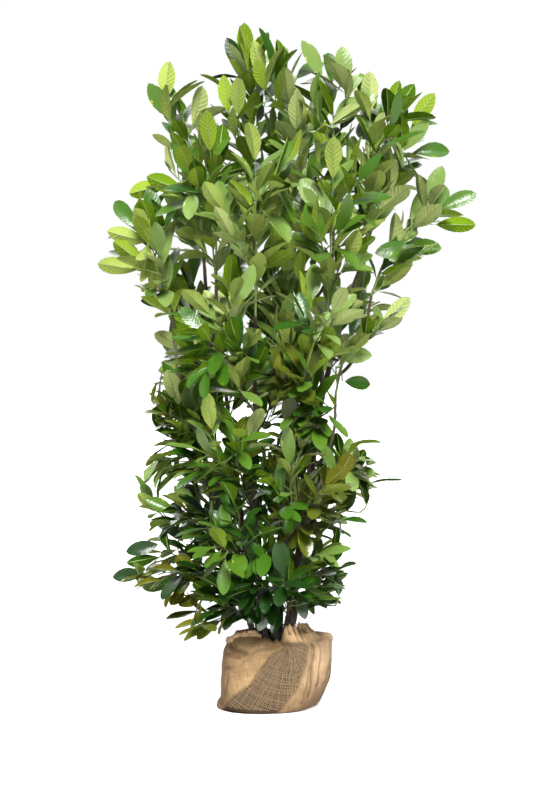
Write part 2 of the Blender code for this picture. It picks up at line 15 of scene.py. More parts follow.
import bpy
import numpy as np
from bpy.props import FloatProperty, FloatVectorProperty, IntProperty, PointerProperty
from mathutils import Matrix, Vector
from mathutils.bvhtree import BVHTree
from mathutils.noise import noise

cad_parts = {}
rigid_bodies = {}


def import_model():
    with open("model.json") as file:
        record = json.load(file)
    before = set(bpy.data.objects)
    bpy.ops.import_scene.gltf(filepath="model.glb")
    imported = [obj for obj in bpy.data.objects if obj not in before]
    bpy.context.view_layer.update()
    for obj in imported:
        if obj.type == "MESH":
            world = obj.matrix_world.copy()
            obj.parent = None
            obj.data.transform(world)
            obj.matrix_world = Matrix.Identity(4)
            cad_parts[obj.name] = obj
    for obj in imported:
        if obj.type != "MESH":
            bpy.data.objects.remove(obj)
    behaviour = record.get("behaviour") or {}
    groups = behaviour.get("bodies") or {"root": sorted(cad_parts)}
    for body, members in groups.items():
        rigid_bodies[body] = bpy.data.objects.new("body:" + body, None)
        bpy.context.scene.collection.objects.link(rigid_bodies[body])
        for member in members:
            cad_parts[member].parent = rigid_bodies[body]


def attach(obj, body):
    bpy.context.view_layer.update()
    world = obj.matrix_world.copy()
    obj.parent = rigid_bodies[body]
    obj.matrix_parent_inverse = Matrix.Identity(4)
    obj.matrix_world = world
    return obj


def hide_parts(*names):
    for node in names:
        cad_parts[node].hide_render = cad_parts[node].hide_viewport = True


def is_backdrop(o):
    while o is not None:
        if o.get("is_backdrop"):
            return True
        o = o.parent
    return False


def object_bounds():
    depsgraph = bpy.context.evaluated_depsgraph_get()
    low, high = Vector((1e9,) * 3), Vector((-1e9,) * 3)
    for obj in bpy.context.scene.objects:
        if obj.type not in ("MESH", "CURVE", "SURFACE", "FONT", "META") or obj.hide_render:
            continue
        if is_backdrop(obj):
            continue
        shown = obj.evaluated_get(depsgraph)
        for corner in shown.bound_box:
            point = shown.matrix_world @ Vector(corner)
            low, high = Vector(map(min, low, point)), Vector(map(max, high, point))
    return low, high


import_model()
CAD_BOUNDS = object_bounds()

bl_info = {
    "name": "Cherry laurel on a root ball",
    "version": (1, 0, 0),
    "blender": (4, 5, 0),
    "location": "View3D > Sidebar > Laurel",
    "description": "Grows the bark, twigs and leaves of a laurel and wraps its root ball in hessian",
    "category": "Object",
}

# ---- sizes of the solids

GAP = 0.0003

BALL_HALF_WIDTH = 0.171
BALL_HALF_DEPTH = 0.172
BALL_SQUARENESS = 2.6
BALL_FILL = 0.96
BALL_LEAN = 0.007
FOLDS = ((5, 1.1, 0.0030), (9, -0.6, 0.0022))
SHOULDER_Z = 0.192
SOIL_TOP_Z = 0.190
UNDERSIDE_SHARE = 0.90
CORNER_HEIGHT = 0.022
CHAMFER_HEIGHT = 0.056
CHAMFER_DEPTH = 0.034
LIP_Z = SHOULDER_Z + 0.008
WRAP_THICKNESS = 0.003
MOUTH = Vector((-0.008, 0.0))
MOUTH_RADIUS = 0.104
HEM_WIDTH = 0.005
HEM_RISE = 0.006
HEM_SLOPE = 0.002
HEM_RIPPLES = (7, 0.003)
ROLL_RISE = 0.012
ROLL_ANGLE = radians(205)
BUNCH_ANGLE = radians(-50)
FRILL_RISE = 0.034  # how far the frayed frill stands up there, with its threads
DROOP_ANGLE = radians(172)  # the side where the shoulder hangs lower
CHAMFER_ANGLE = radians(-14)  # the side where the bottom edge is cut away
SAG_ANGLE = radians(-136)  # the side where the bag sags out over its underside
EAR_ANGLE = radians(-8)  # the side where its shoulder stands up in a corner

STEM_SPANS = 7
STEM_TIP_RADIUS = 0.0048
BOUGH_SPANS = 3
BOUGH_RADIUS = 0.0056
LEADER_RADIUS = 0.0042
BEND = 0.45
SIDE_LEAN = 0.5
SIDE_SHARE = 0.8
FLARE = 0.32
FLARE_HEIGHT = 0.035

SPAN_LENGTH = 0.12
SHORT_TWIG = 0.11
TWIG_LENGTH = 0.19
SHORTEST_TWIG = 0.05
TWIG_TAPER = (1.1, 0.5)
TWIG_SPACING = 0.08
FIRST_TWIG = 0.10
LAST_TWIG = 0.80
DIVERGENCE = radians(46)
GOLDEN_ANGLE = radians(137.5)
TURN_JITTER = 0.4
UPWARD_PULL = 0.45
SHRINK = 0.8
END_LEAF_REACH = 0.150  # from the end of a leader's path to the tip of its last leaf
FLATNESS = 0.4
DROOP = 0.6
REACH = 0.18
ROOM_GAP = 0.004
LIMB_CLEARANCE = 0.0015
BALL_CLEAR = (0.195, 0.245)

GROUND = SOIL_TOP_Z + GAP
STEMS = {
    # name: foot (x, y), knee, shoulder and tip, and the radius at the foot
    "stem_left": (
        (-0.062, -0.016), (-0.165, -0.035, 0.58), (-0.192, -0.045, 0.98), (-0.215, -0.035, 1.34), 0.0100
    ),
    "stem_middle": (
        (-0.036, 0.022), (-0.072, 0.035, 0.60), (-0.056, 0.050, 1.02), (-0.066, 0.035, 1.42), 0.0105
    ),
    "stem_thick": (
        (-0.002, -0.004), (0.030, -0.008, 0.60), (0.066, -0.010, 1.02), (0.084, -0.020, 1.40), 0.0145
    ),
    "stem_right": (
        (0.040, 0.012), (0.085, 0.030, 0.58), (0.155, 0.040, 0.98), (0.265, 0.040, 1.35), 0.0105
    ),
    "stem_front": (
        (-0.030, -0.046), (-0.060, -0.130, 0.52), (-0.062, -0.190, 0.86), (-0.060, -0.225, 1.16), 0.0090
    ),
    "stem_front_right": (
        (0.022, -0.042), (0.076, -0.120, 0.50), (0.118, -0.175, 0.82), (0.142, -0.205, 1.12), 0.0090
    ),
    "stem_back": (
        (0.010, 0.046), (0.030, 0.140, 0.56), (0.060, 0.195, 0.94), (0.085, 0.230, 1.28), 0.0100
    ),
    "stem_back_left": (
        (-0.050, 0.056), (-0.105, 0.140, 0.54), (-0.150, 0.195, 0.88), (-0.180, 0.225, 1.20), 0.0092
    ),
}
BOUGHS = {
    # name: the stem, the height where it leaves it, and the bough's tip
    "bough_crown_right": ("stem_thick", 1.18, (0.170, -0.055, 1.46)),
    "bough_right_high": ("stem_right", 1.12, (0.262, -0.070, 1.34)),
    "bough_right_arch": ("stem_right", 0.96, (0.285, -0.010, 1.225)),
    "bough_right_middle": ("stem_right", 0.70, (0.178, -0.025, 0.930)),
    "bough_right_skirt": ("stem_right", 0.41, (0.138, 0.025, 0.510)),
    "bough_left_front": ("stem_left", 1.06, (-0.175, -0.130, 1.28)),
    "bough_left_high": ("stem_left", 0.84, (-0.300, -0.055, 1.120)),
    "bough_left_middle": ("stem_left", 0.56, (-0.198, -0.085, 0.660)),
    "bough_left_skirt": ("stem_left", 0.37, (-0.165, -0.060, 0.460)),
    "bough_left_lowest": ("stem_left", 0.25, (-0.128, -0.032, 0.295)),
    "bough_back_middle": ("stem_back", 0.78, (0.150, 0.225, 0.960)),
}
MASSES = {
    # name: the limb that bears it, the height where it leaves a stem's side, or None at the
    # limb's tip, and the tip of its furthest leaf
    "leaves_crown_left": ("stem_left", None, (-0.305, -0.030, 1.925)),
    "leaves_crown_top": ("stem_middle", None, (-0.085, 0.000, 2.040)),
    "leaves_crown_middle": ("stem_thick", None, (0.000, -0.050, 2.000)),
    "leaves_crown_right": ("bough_crown_right", None, (0.165, -0.040, 1.975)),
    "leaves_right_high": ("bough_right_high", None, (0.280, -0.090, 1.900)),
    "leaves_crown_far_right": ("stem_right", None, (0.440, 0.030, 1.870)),
    "leaves_right_arch": ("bough_right_arch", None, (0.535, -0.020, 1.585)),
    "leaves_front_high": ("stem_front", None, (-0.060, -0.300, 1.720)),
    "leaves_front_right_high": ("stem_front_right", None, (0.165, -0.290, 1.670)),
    "leaves_back_high": ("stem_back", None, (0.115, 0.310, 1.920)),
    "leaves_back_left_high": ("stem_back_left", None, (-0.240, 0.300, 1.850)),
    "leaves_left_front": ("bough_left_front", None, (-0.195, -0.190, 1.760)),
    "leaves_left_high": ("bough_left_high", None, (-0.425, -0.060, 1.540)),
    "leaves_left_inner": ("stem_left", 1.00, (-0.290, 0.080, 1.420)),
    "leaves_left_waist": ("stem_left", 0.70, (-0.345, -0.115, 1.085)),
    "leaves_left_middle": ("bough_left_middle", None, (-0.400, -0.105, 0.880)),
    "leaves_left_skirt": ("bough_left_skirt", None, (-0.400, -0.070, 0.690)),
    "leaves_left_low": ("stem_left", 0.33, (-0.375, 0.060, 0.560)),
    "leaves_left_lowest": ("bough_left_lowest", None, (-0.480, -0.070, 0.485)),
    "leaves_right_middle": ("bough_right_middle", None, (0.335, -0.040, 1.275)),
    "leaves_right_low": ("stem_right", 0.56, (0.300, 0.000, 0.840)),
    "leaves_right_skirt": ("bough_right_skirt", None, (0.345, 0.020, 0.690)),
    "leaves_right_lowest": ("stem_right", 0.26, (0.250, 0.040, 0.385)),
    "leaves_right_low_front": ("stem_front_right", 0.34, (0.165, -0.210, 0.590)),
    "leaves_front_middle": ("stem_front", 0.88, (-0.150, -0.340, 1.370)),
    "leaves_front_waist": ("stem_front", 0.60, (-0.150, -0.370, 0.990)),
    "leaves_front_skirt": ("stem_front", 0.38, (-0.150, -0.380, 0.720)),
    "leaves_front_right_middle": ("stem_front_right", 0.80, (0.070, -0.370, 1.290)),
    "leaves_front_right_skirt": ("stem_front_right", 0.50, (0.040, -0.370, 0.860)),
    "leaves_front_low": ("stem_front_right", 0.27, (0.010, -0.360, 0.500)),
    "leaves_front_lowest": ("stem_front", 0.26, (-0.250, -0.270, 0.360)),
    "leaves_heart": ("stem_middle", 0.80, (-0.010, 0.140, 1.400)),
    "leaves_heart_low": ("stem_thick", 0.46, (-0.010, 0.120, 0.900)),
    "leaves_heart_front": ("stem_thick", 0.92, (0.020, -0.130, 1.470)),
    "leaves_back_middle": ("bough_back_middle", None, (0.250, 0.340, 1.320)),
    "leaves_back_left_middle": ("stem_back_left", 0.78, (-0.290, 0.310, 1.220)),
    "leaves_back_left_skirt": ("stem_back_left", 0.42, (-0.260, 0.330, 0.780)),
    "leaves_back_skirt": ("stem_back", 0.44, (0.130, 0.350, 0.800)),
    "leaves_back_lowest": ("stem_back", 0.27, (-0.050, 0.350, 0.440)),
}

# ---- what this script adds

SHOOTS = (  # the mass that bears the shoots, and the tip of each shoot's end leaf
    ("leaves_crown_left", (-0.321, -0.051, 1.917), (-0.373, -0.068, 1.849), (-0.205, -0.050, 1.840)),
    ("leaves_crown_left", (-0.386, -0.050, 1.576), (-0.441, -0.035, 1.533)),
    ("leaves_crown_top", (-0.099, 0.029, 2.040), (-0.145, 0.031, 2.000), (-0.024, 0.031, 2.007)),
    ("leaves_crown_top", (0.030, 0.031, 1.983)),
    ("leaves_crown_middle", (-0.071, -0.062, 1.974), (0.145, 0.030, 1.937)),
    ("leaves_crown_right", (0.077, -0.064, 1.974), (0.194, -0.089, 1.955)),
    ("leaves_crown_far_right", (0.248, 0.033, 1.890), (0.363, 0.042, 1.873), (0.412, 0.042, 1.861)),
    ("leaves_crown_far_right", (0.476, 0.054, 1.835), (0.448, -0.021, 1.749), (0.528, 0.051, 1.674)),
    ("leaves_right_high", (0.289, 0.023, 1.876)),
    ("leaves_right_arch", (0.488, -0.037, 1.613), (0.592, -0.037, 1.538), (0.595, -0.037, 1.434)),
    ("leaves_right_arch", (0.488, -0.036, 1.375)),
    ("leaves_right_middle", (0.399, -0.037, 1.217), (0.390, 0.033, 1.177), (0.285, -0.045, 1.038)),
    ("leaves_right_middle", (0.284, 0.035, 0.956)),
    ("leaves_right_low", (0.314, 0.035, 0.799)),
    ("leaves_right_skirt", (0.379, -0.029, 0.689)),
    ("leaves_left_high", (-0.490, -0.023, 1.510), (-0.502, -0.054, 1.409), (-0.529, -0.078, 1.322)),
    ("leaves_left_inner", (-0.410, 0.030, 1.213), (-0.357, 0.050, 0.995)),
    ("leaves_left_waist", (-0.397, -0.027, 0.728)),
    ("leaves_left_skirt", (-0.422, -0.049, 0.691), (-0.384, -0.089, 0.620), (-0.448, -0.060, 0.463)),
    ("leaves_left_low", (-0.501, 0.100, 0.368), (-0.412, 0.055, 0.340)),
    ("leaves_left_lowest", (-0.384, -0.044, 0.518), (-0.329, -0.065, 0.262), (-0.254, -0.077, 0.225)),
    ("leaves_left_inner", (-0.300, -0.060, 1.290), (-0.240, -0.080, 1.180), (-0.225, -0.060, 1.330)),
    ("leaves_left_high", (-0.350, -0.080, 1.230)),
    ("leaves_left_waist", (-0.320, -0.120, 1.010), (-0.255, -0.140, 0.960)),
    ("leaves_front_middle", (-0.210, -0.260, 1.230)),
    ("leaves_heart_front", (-0.020, -0.160, 1.390)),
    ("leaves_right_middle", (0.110, -0.120, 1.120)),
    ("leaves_right_arch", (0.330, -0.080, 1.330), (0.365, -0.060, 1.400), (0.290, -0.070, 1.350)),
    ("leaves_right_arch", (0.405, -0.030, 1.330)),
    ("leaves_left_inner", (-0.362, -0.030, 1.120), (-0.320, -0.060, 1.160), (-0.275, -0.080, 1.235)),
    ("leaves_left_inner", (-0.200, -0.090, 1.260)),
    ("leaves_heart_front", (0.030, -0.170, 1.420)),
    ("leaves_front_middle", (-0.130, -0.280, 1.340)),
    ("leaves_front_right_middle", (0.110, -0.300, 1.310)),
    ("leaves_heart", (0.080, 0.050, 1.360), (-0.100, 0.080, 1.400)),
    ("leaves_heart_front", (0.115, -0.120, 1.400)),
    ("leaves_front_middle", (-0.060, -0.300, 1.300)),
    ("leaves_left_skirt", (-0.330, -0.080, 0.650)),
    ("leaves_left_low", (-0.330, -0.040, 0.500)),
    ("leaves_front_right_skirt", (0.030, -0.300, 0.935)),
    ("leaves_front_waist", (-0.040, -0.300, 0.905)),
    ("leaves_front_right_skirt", (0.095, -0.250, 0.880)),
    ("leaves_front_waist", (-0.015, -0.290, 0.870)),
    ("leaves_left_waist", (-0.365, -0.060, 0.640)),
    ("leaves_crown_right", (0.250, -0.050, 1.815)),
    ("leaves_crown_top", (-0.160, -0.020, 1.880)),
    ("leaves_left_high", (-0.375, -0.060, 1.545)),
    ("leaves_right_low", (0.290, -0.030, 0.740)),
    ("leaves_right_skirt", (0.270, -0.060, 0.560)),
    ("leaves_right_lowest", (0.235, -0.060, 0.440)),
)
PROFILE_LEFT = (  # how far the leaves reach to each side, from the profile's lowest height up
    -0.27, -0.30, -0.33, -0.46, -0.44, -0.37, -0.38, -0.39, -0.39, -0.38, -0.34, -0.36, -0.38,
    -0.35, -0.33, -0.34, -0.34, -0.39, -0.42, -0.50, -0.50, -0.46, -0.48, -0.40, -0.34, -0.34,
    -0.36, -0.37, -0.37, -0.27, -0.15, -0.11,
)
PROFILE_RIGHT = (
    0.15, 0.12, 0.19, 0.21, 0.19, 0.21, 0.19, 0.21, 0.31, 0.29, 0.27, 0.115, 0.16, 0.175, 0.21,
    0.24, 0.35, 0.39, 0.34, 0.41, 0.46, 0.57, 0.56, 0.51, 0.47, 0.45, 0.45, 0.47, 0.32, 0.20, 0.09,
    -0.06,
)
PROFILE_HEIGHTS = [round(0.19 + 0.06 * i, 2) for i in range(len(PROFILE_LEFT))]
OPEN_PLACES = (  # where the sky shows through the whole plant: x, z, half width and half height
    (-0.198, 1.300, 0.012, 0.100), (-0.125, 0.900, 0.014, 0.034), (0.165, 1.385, 0.030, 0.030),
    (0.205, 1.290, 0.035, 0.030), (0.175, 1.000, 0.018, 0.050), (0.120, 1.245, 0.016, 0.030),
    (0.450, 1.405, 0.030, 0.022), (0.455, 1.290, 0.030, 0.025), (0.215, 1.120, 0.020, 0.020),
    (-0.310, 1.590, 0.020, 0.030), (0.085, 0.262, 0.050, 0.014),
)
OPEN_MARGIN = 0.018  # how far a leaf's middle keeps off an open place
OLIVE_PLACES = (  # where most sprays are olive: x, z, half width and half height
    (-0.010, 0.530, 0.110, 0.100), (-0.420, 0.410, 0.120, 0.080), (-0.260, 0.270, 0.070, 0.060),
    (0.140, 0.640, 0.080, 0.060), (-0.100, 0.750, 0.060, 0.050),
)
NECK_LEAVES = (  # the stem, the height where the shoot leaves it, the foot of the leaf and its tip
    ("stem_front", 0.315, (-0.006, -0.120, 0.335), (-0.080, -0.150, 0.262)),
    ("stem_front", 0.300, (-0.012, -0.135, 0.318), (-0.053, -0.172, 0.246)),
    ("stem_front_right", 0.300, (0.022, -0.125, 0.300), (-0.012, -0.160, 0.238)),
    ("stem_left", 0.300, (-0.130, -0.070, 0.325), (-0.150, -0.120, 0.240)),
    ("stem_front", 0.365, (-0.060, -0.150, 0.375), (-0.105, -0.195, 0.300)),
    ("stem_front_right", 0.345, (0.060, -0.130, 0.355), (0.085, -0.185, 0.285)),
)

VIEW_DISTANCE, VIEW_HEIGHT = 5.0, 1.05  # the place that the profile and the open places are taken from
PROFILE_SLACK = 0.006
BOX_MARGIN = 0.012  # how far the finest leaves may stand proud of the solids' box
NECK_CLEAR = (0.30, 0.262)  # the radius round the ball and the height that leaf tips keep above there
OVER_BALL = (0.17, 0.240)  # the half width and the height that leaves keep above in front of the ball
LOW_CROWN = 1.05  # below this height the crown is denser

# Two rows of numbers give heights and what holds at them.
TWIG_CLOSENESS = (1.0, 1.45, 1.6), (0.54, 0.74, 1.0)
LEAF_CLOSENESS = (1.0, 1.45, 1.6), (0.60, 0.70, 0.88)
LEAF_SIZES = (0.9, 1.15, 1.5), (0.76, 0.86, 1.0)
END_LEAF_SIZES = (0.85, 0.95), (0.80, 0.96)
# CROWN_LIGHT lifts the leaf tints in the middle crown as painted light; FOOT_SHADE darkens them near the ball
# as painted shade.
CROWN_LIGHT = (0.60, 0.85, 1.05, 1.40, 1.60), (0.0, 0.07, 0.13, 0.15, 0.04)
FOOT_SHADE = (0.30, 0.46, 0.60), (0.36, 0.22, 0.0)
OLIVE_SHARE = (0.34, 0.42, 0.95, 1.3), (0.04, 0.10, 0.08, 0.0)

FINE_SIDES = 5
FINE_TWIG_TRIES = 3
FINE_TWIG_START, FINE_TWIG_RUN = 0.16, 0.62  # the shares of its bearer that carry fine twigs
FINE_TWIG_SHARE = 0.72  # of the bearer's length for counting them, and of its radius
TWIG_ROOM, FINE_TWIG_ROOM = 0.003, 0.002  # the radii that keep twigs off the limbs
PATH_STEP = 0.022  # between the points of a smooth twig
SHOOT, NECK = 3, 4  # the orders of listed shoots and of the twigs at the neck
SHOOT_REACH = 0.16  # how far a shoot's root lies from its tip, where the mass has wood that far off
HANG_COST = 0.3  # how much further off wood counts for each metre that it lies above the tip
SHOOT_AIM = 1.3  # how much a shoot heads for its tip, against 1 along what bears it
LEVEL_ASIDE, LEVEL_BELOW = 0.2, 0.5  # end leaves lie flatter right of the one, low down, or below the other
LEVEL_SLOPE = 0.3  # the share of the shoot's slope that they keep
FIRST_LEAVES = (0.16, 0.22, 0.34, 0.35, 1.0)  # share of a twig before its first leaf, by order
LEAF_VARIANTS = 7
LEAF_TRIES = (  # shares of the spread and of the size, and a turn round the twig in degrees
    (1.0, 1.0, 0), (0.75, 1.0, 35), (0.75, 1.0, -35), (0.45, 0.95, 0), (1.1, 0.9, 75), (1.1, 0.9, -75),
    (0.5, 0.85, 130), (0.5, 0.85, -130), (0.2, 0.8, 0),
)
SHOOT_SLACK, LOW_SLACK, SLACK = 0.06, 0.03, 0.012  # how far leaves may leave their mass's room
LEAF_NEAR = 0.13  # leaves whose middles lie further apart can't cross
MOST_LEAVES = 8000  # that the canopy has places for
TUFT_ABOVE, TUFT_SHARE, TUFT_SIZE = 1.62, 0.16, 0.62  # tufts of small young leaves at the top
NECK_MASS = "leaves_front_lowest"  # that the leaves at the neck count to
WITHERED_LEAF = Vector((0.054, -0.088, 0.236)), Vector((0.050, -0.092, 0.300))  # its foot and tip
WITHERED_FACING = Vector((-0.5, -0.8, 0.1))
# From shade up to young the tints are lit and shaded greens: spray_tint picks them as painted light and shade
# on a random tone; young also colours the real young tufts, olive and withered are the leaves' own colours,
# and the greyed neck tint is a painted sheen.
TINT_LIMITS = (0.18, "shade"), (0.34, "deep"), (0.48, "green"), (0.66, "fresh"), (0.96, "bright")
TINTS = ("young", "bright", "fresh", "green", "deep", "shade", "olive", "dusty", "withered")


# ---- settings


def length(name, description, default):
    return FloatProperty(name=name, description=description, default=default, min=0.0, unit="LENGTH")


def portion(name, description, default):
    limits = {"min": 0.0, "max": 1.0, "subtype": "FACTOR"}
    return FloatProperty(name=name, description=description, default=default, **limits)


def amount(name, description, default):
    return FloatProperty(name=name, description=description, default=default, min=0.0)


def whole_number(name, description, default):
    return IntProperty(name=name, description=description, default=default, min=0)


def colour(name, default):
    return FloatVectorProperty(
        name=name, description=name + ", linear", default=default, size=3, min=0.0, max=1.0, subtype="COLOR"
    )


class LaurelFoliage(bpy.types.PropertyGroup):
    """Sizes and colours of the twigs and leaves."""

    leaf_length: length("Leaf length", "Length of a full-grown blade", 0.124)
    leaf_width: length("Leaf width", "Greatest width of a full-grown blade", 0.051)
    stalk_length: length("Stalk length", "Length of a leaf's stalk", 0.012)
    leaf_spacing: length("Leaf spacing", "Distance between leaves along a twig", 0.029)
    twig_radius: length("Twig radius", "Radius of a side twig at its foot", 0.0030)
    twig_tip_radius: length("Twig tip radius", "Radius of a twig at its tip", 0.0013)
    fine_twig_length: length("Fine twig length", "Length of the finest twigs", 0.105)
    fine_twig_spacing: length("Fine twig spacing", "Distance between fine twigs on what bears them", 0.080)
    # Young down to shade are lighter and darker greens, standing partly for the leaves' own tone and partly
    # for painted light and shade.
    young_upper: colour("Young leaf, upper side", (0.142, 0.220, 0.050))
    young_under: colour("Young leaf, underside", (0.318, 0.374, 0.128))
    bright_upper: colour("Bright leaf, upper side", (0.106, 0.182, 0.030))
    bright_under: colour("Bright leaf, underside", (0.262, 0.332, 0.068))
    fresh_upper: colour("Fresh leaf, upper side", (0.056, 0.126, 0.009))
    fresh_under: colour("Fresh leaf, underside", (0.200, 0.290, 0.024))
    green_upper: colour("Green leaf, upper side", (0.034, 0.100, 0.005))
    green_under: colour("Green leaf, underside", (0.122, 0.218, 0.007))
    deep_upper: colour("Deep leaf, upper side", (0.018, 0.070, 0.003))
    deep_under: colour("Deep leaf, underside", (0.058, 0.128, 0.004))
    shade_upper: colour("Shaded leaf, upper side", (0.006, 0.030, 0.002))
    shade_under: colour("Shaded leaf, underside", (0.019, 0.056, 0.002))
    olive_upper: colour("Olive leaf, upper side", (0.070, 0.092, 0.007))
    olive_under: colour("Olive leaf, underside", (0.180, 0.180, 0.015))
    # A painted sheen: a greyed dark green for the leaves at the neck.
    dusty_upper: colour("Sheened leaf, upper side", (0.055, 0.085, 0.045))
    dusty_under: colour("Sheened leaf, underside", (0.110, 0.140, 0.075))
    withered_upper: colour("Withered leaf, upper side", (0.030, 0.020, 0.014))
    withered_under: colour("Withered leaf, underside", (0.055, 0.036, 0.024))
    rib: colour("Midrib and stalk", (0.200, 0.290, 0.070))
    twig_green: colour("Green twig", (0.130, 0.190, 0.045))
    twig_brown: colour("Brown twig", (0.050, 0.032, 0.020))


class LaurelBark(bpy.types.PropertyGroup):
    """Sizes and colours of the stems and boughs."""

    sides: IntProperty(name="Sides", description="Faces round a stem", default=18, min=6, max=48)
    ring_step: length("Ring step", "Distance between rings along a limb", 0.007)
    ridge: portion("Ridge depth", "Depth of the bark's ridges, as a share of the radius", 0.10)
    scar_spacing: length("Scar spacing", "Distance between leaf scars up a limb", 0.034)
    dark: colour("Dark bark", (0.013, 0.009, 0.007))
    brown: colour("Brown bark", (0.055, 0.032, 0.019))
    grey: colour("Grey bark", (0.095, 0.080, 0.060))
    red: colour("Peeling red bark", (0.130, 0.045, 0.024))
    young: colour("Young bark", (0.075, 0.080, 0.028))


class LaurelBall(bpy.types.PropertyGroup):
    """Sizes and colours of the soil and its wrap."""

    fold_depth: length("Fold depth", "Depth of the small folds and creases in the cloth", 0.0048)
    thread_radius: length("Thread radius", "Radius of a jute thread", 0.00056)
    thread_spacing: length("Thread spacing", "Distance between threads in the stretched band", 0.0042)
    loose_threads: whole_number("Loose threads", "Frayed ends round the rim", 1100)
    crumbs: whole_number("Soil crumbs", "Crumbs per square metre of soil", 9000)
    pale: colour("Pale jute", (0.335, 0.226, 0.120))
    tan: colour("Tan jute", (0.220, 0.135, 0.061))
    # the darker slubs, and also the painted shade in folds and creases
    dull: colour("Jute in the folds", (0.088, 0.050, 0.025))
    rose: colour("Faded jute", (0.480, 0.335, 0.216))
    # soil stain, with painted shade, low on the bag
    stained_and_shaded: colour("Soil-stained jute", (0.098, 0.058, 0.030))
    thread: colour("Loose thread", (0.195, 0.134, 0.072))
    # pale frayed fibre, made brighter as painted light for the frill and roll that lie in the leaves' shadow
    lit_fringe: colour("Frayed jute", (0.720, 0.470, 0.265))
    # the dark soil seen through the open weave, with the painted shade of its holes
    gap: colour("Cloth behind the open threads", (0.020, 0.013, 0.008))
    soil: colour("Soil", (0.030, 0.019, 0.012))


class LaurelStage(bpy.types.PropertyGroup):
    """The camera and the light."""

    distance: length("Camera distance", "From the camera to the plant's middle plane", 5.0)
    height: length("Camera height", "Above the floor", 1.05)
    aim: length("Aim height", "Height of the point that the camera looks at", 0.912)
    aside: FloatProperty(
        name="Aside", description="Sideways shift of the camera", default=-0.0285, unit="LENGTH"
    )
    focal: FloatProperty(name="Focal length", description="In millimetres", default=75.0, min=10.0)
    key: amount("Key light", "Strength of the main light", 7.9)
    top: amount("Top light", "Strength of the light from above", 1.2)
    fill: amount("Fill light", "Strength of the light from the left", 0.3)
    back: amount("Back light", "Strength of the light from behind", 2.2)
    low: amount("Low light", "Power of the lamp on the ball", 160.0)
    sky: amount("Sky", "Light from the white surroundings", 0.018)
    floor_lift: amount("Floor lift", "How far shadows on the floor are lifted", 0.6)
    gloss: amount("Gloss", "How bright the surroundings look in gloss", 0.18)


# ---- curves


def up(height):
    return Vector((0, 0, height))


def level_way(turn):
    """The level unit vector at an angle from +X."""
    return Vector((cos(turn), sin(turn), 0))


def turns(count):
    """Angles that part a full turn evenly."""
    return [2 * pi * k / count for k in range(count)]


def angle_off(turn, other):
    """The signed angle to one turn from another, within half a circle."""
    return atan2(sin(turn - other), cos(turn - other))


def stray(rng, *spans):
    """A vector with each of its parts drawn from a span."""
    return Vector([rng.uniform(*span) for span in spans])


def across(direction):
    """Two unit vectors square to a direction and to each other."""
    side = direction.cross(up(1))
    if side.length < 0.05:
        side = direction.cross(Vector((0, 1, 0)))
    side.normalize()
    return side, side.cross(direction).normalized()


def spline(points, t):
    """The point at share t of a smooth curve through the points."""
    spans = len(points) - 1
    at = min(int(t * spans), spans - 1)
    u = t * spans - at
    p1, p2 = points[at], points[at + 1]
    p0 = points[at - 1] if at else p1 * 2 - p2
    p3 = points[at + 2] if at + 2 < len(points) else p2 * 2 - p1
    linear = (p2 - p0) * u
    square = (p0 * 2 - p1 * 5 + p2 * 4 - p3) * u**2
    cubic = (p1 * 3 - p0 - p2 * 3 + p3) * u**3
    return p1 + (linear + square + cubic) * 0.5


def bent(start, heading, end, spans):
    """The points of a limb that leaves start along heading and bends round to end."""
    control = start + heading * (end - start).length * BEND
    shares = [i / spans for i in range(spans + 1)]
    return [start * (1 - t) ** 2 + control * 2 * t * (1 - t) + end * t**2 for t in shares]


def point_along(path, t):
    """The point and the heading at share t of a path."""
    spans = len(path) - 1
    at = min(int(t * spans), spans - 1)
    return path[at].lerp(path[at + 1], t * spans - at), (path[at + 1] - path[at]).normalized()


def between(first, last, count):
    """Values that run evenly from first to last."""
    return [first + (last - first) * i / (count - 1) for i in range(count)]


def path_length(path):
    return sum((b - a).length for a, b in zip(path, path[1:]))


def smooth_path(path, step=PATH_STEP):
    """A path with its corners rounded and its points about a step apart."""
    count = max(3, round(path_length(path) / step) + 1)
    return [spline(path, t) for t in between(0, 1, count)]


def ring_points(path, radii, sides, heading=None):
    """Rings of points round a path, one list for each of its points."""
    along = (heading or path[1] - path[0]).normalized()
    first, _ = across(along)
    rings = []
    for i, centre in enumerate(path):
        if i:
            along = (path[min(i + 1, len(path) - 1)] - path[i - 1]).normalized()
        first = (first - along * first.dot(along)).normalized()
        second = along.cross(first)
        ways = [first * cos(turn) + second * sin(turn) for turn in turns(sides)]
        rings.append([centre + way * radii[i] for way in ways])
    return rings


def skin_faces(rows, sides):
    """Faces between rings of points, with both ends closed."""
    faces = []
    for low in range(0, (rows - 1) * sides, sides):
        for k in range(sides):
            after = (k + 1) % sides
            faces.append((low + k, low + after, low + sides + after, low + sides + k))
    last = (rows - 1) * sides
    return faces + [tuple(reversed(range(sides))), tuple(range(last, last + sides))]


def joined_skins(tubes, sides):
    """The points and faces of several closed skins, each given by its rings."""
    points, faces = [], []
    for rings in tubes:
        offset = len(points)
        points += [point for ring in rings for point in ring]
        faces += [tuple(i + offset for i in face) for face in skin_faces(len(rings), sides)]
    return points, faces


def tube_tree(path, radius, sides=4):
    return BVHTree.FromPolygons(*joined_skins([ring_points(path, [radius] * len(path), sides)], sides))


# ---- growing the plant


class Limb(NamedTuple):
    """A stem or bough: its centre line and its radii."""

    path: list
    radii: list

    def at_height(self, height):
        """The centre point, the heading and the radius where the limb passes a height."""
        spans = zip(self.path, self.path[1:], self.radii, self.radii[1:])
        for low, high, low_radius, high_radius in spans:
            if low.z <= height <= high.z:
                part = (height - low.z) / (high.z - low.z)
                radius = low_radius + (high_radius - low_radius) * part
                return low.lerp(high, part), (high - low).normalized(), radius
        raise ValueError(f"no point at {height}")


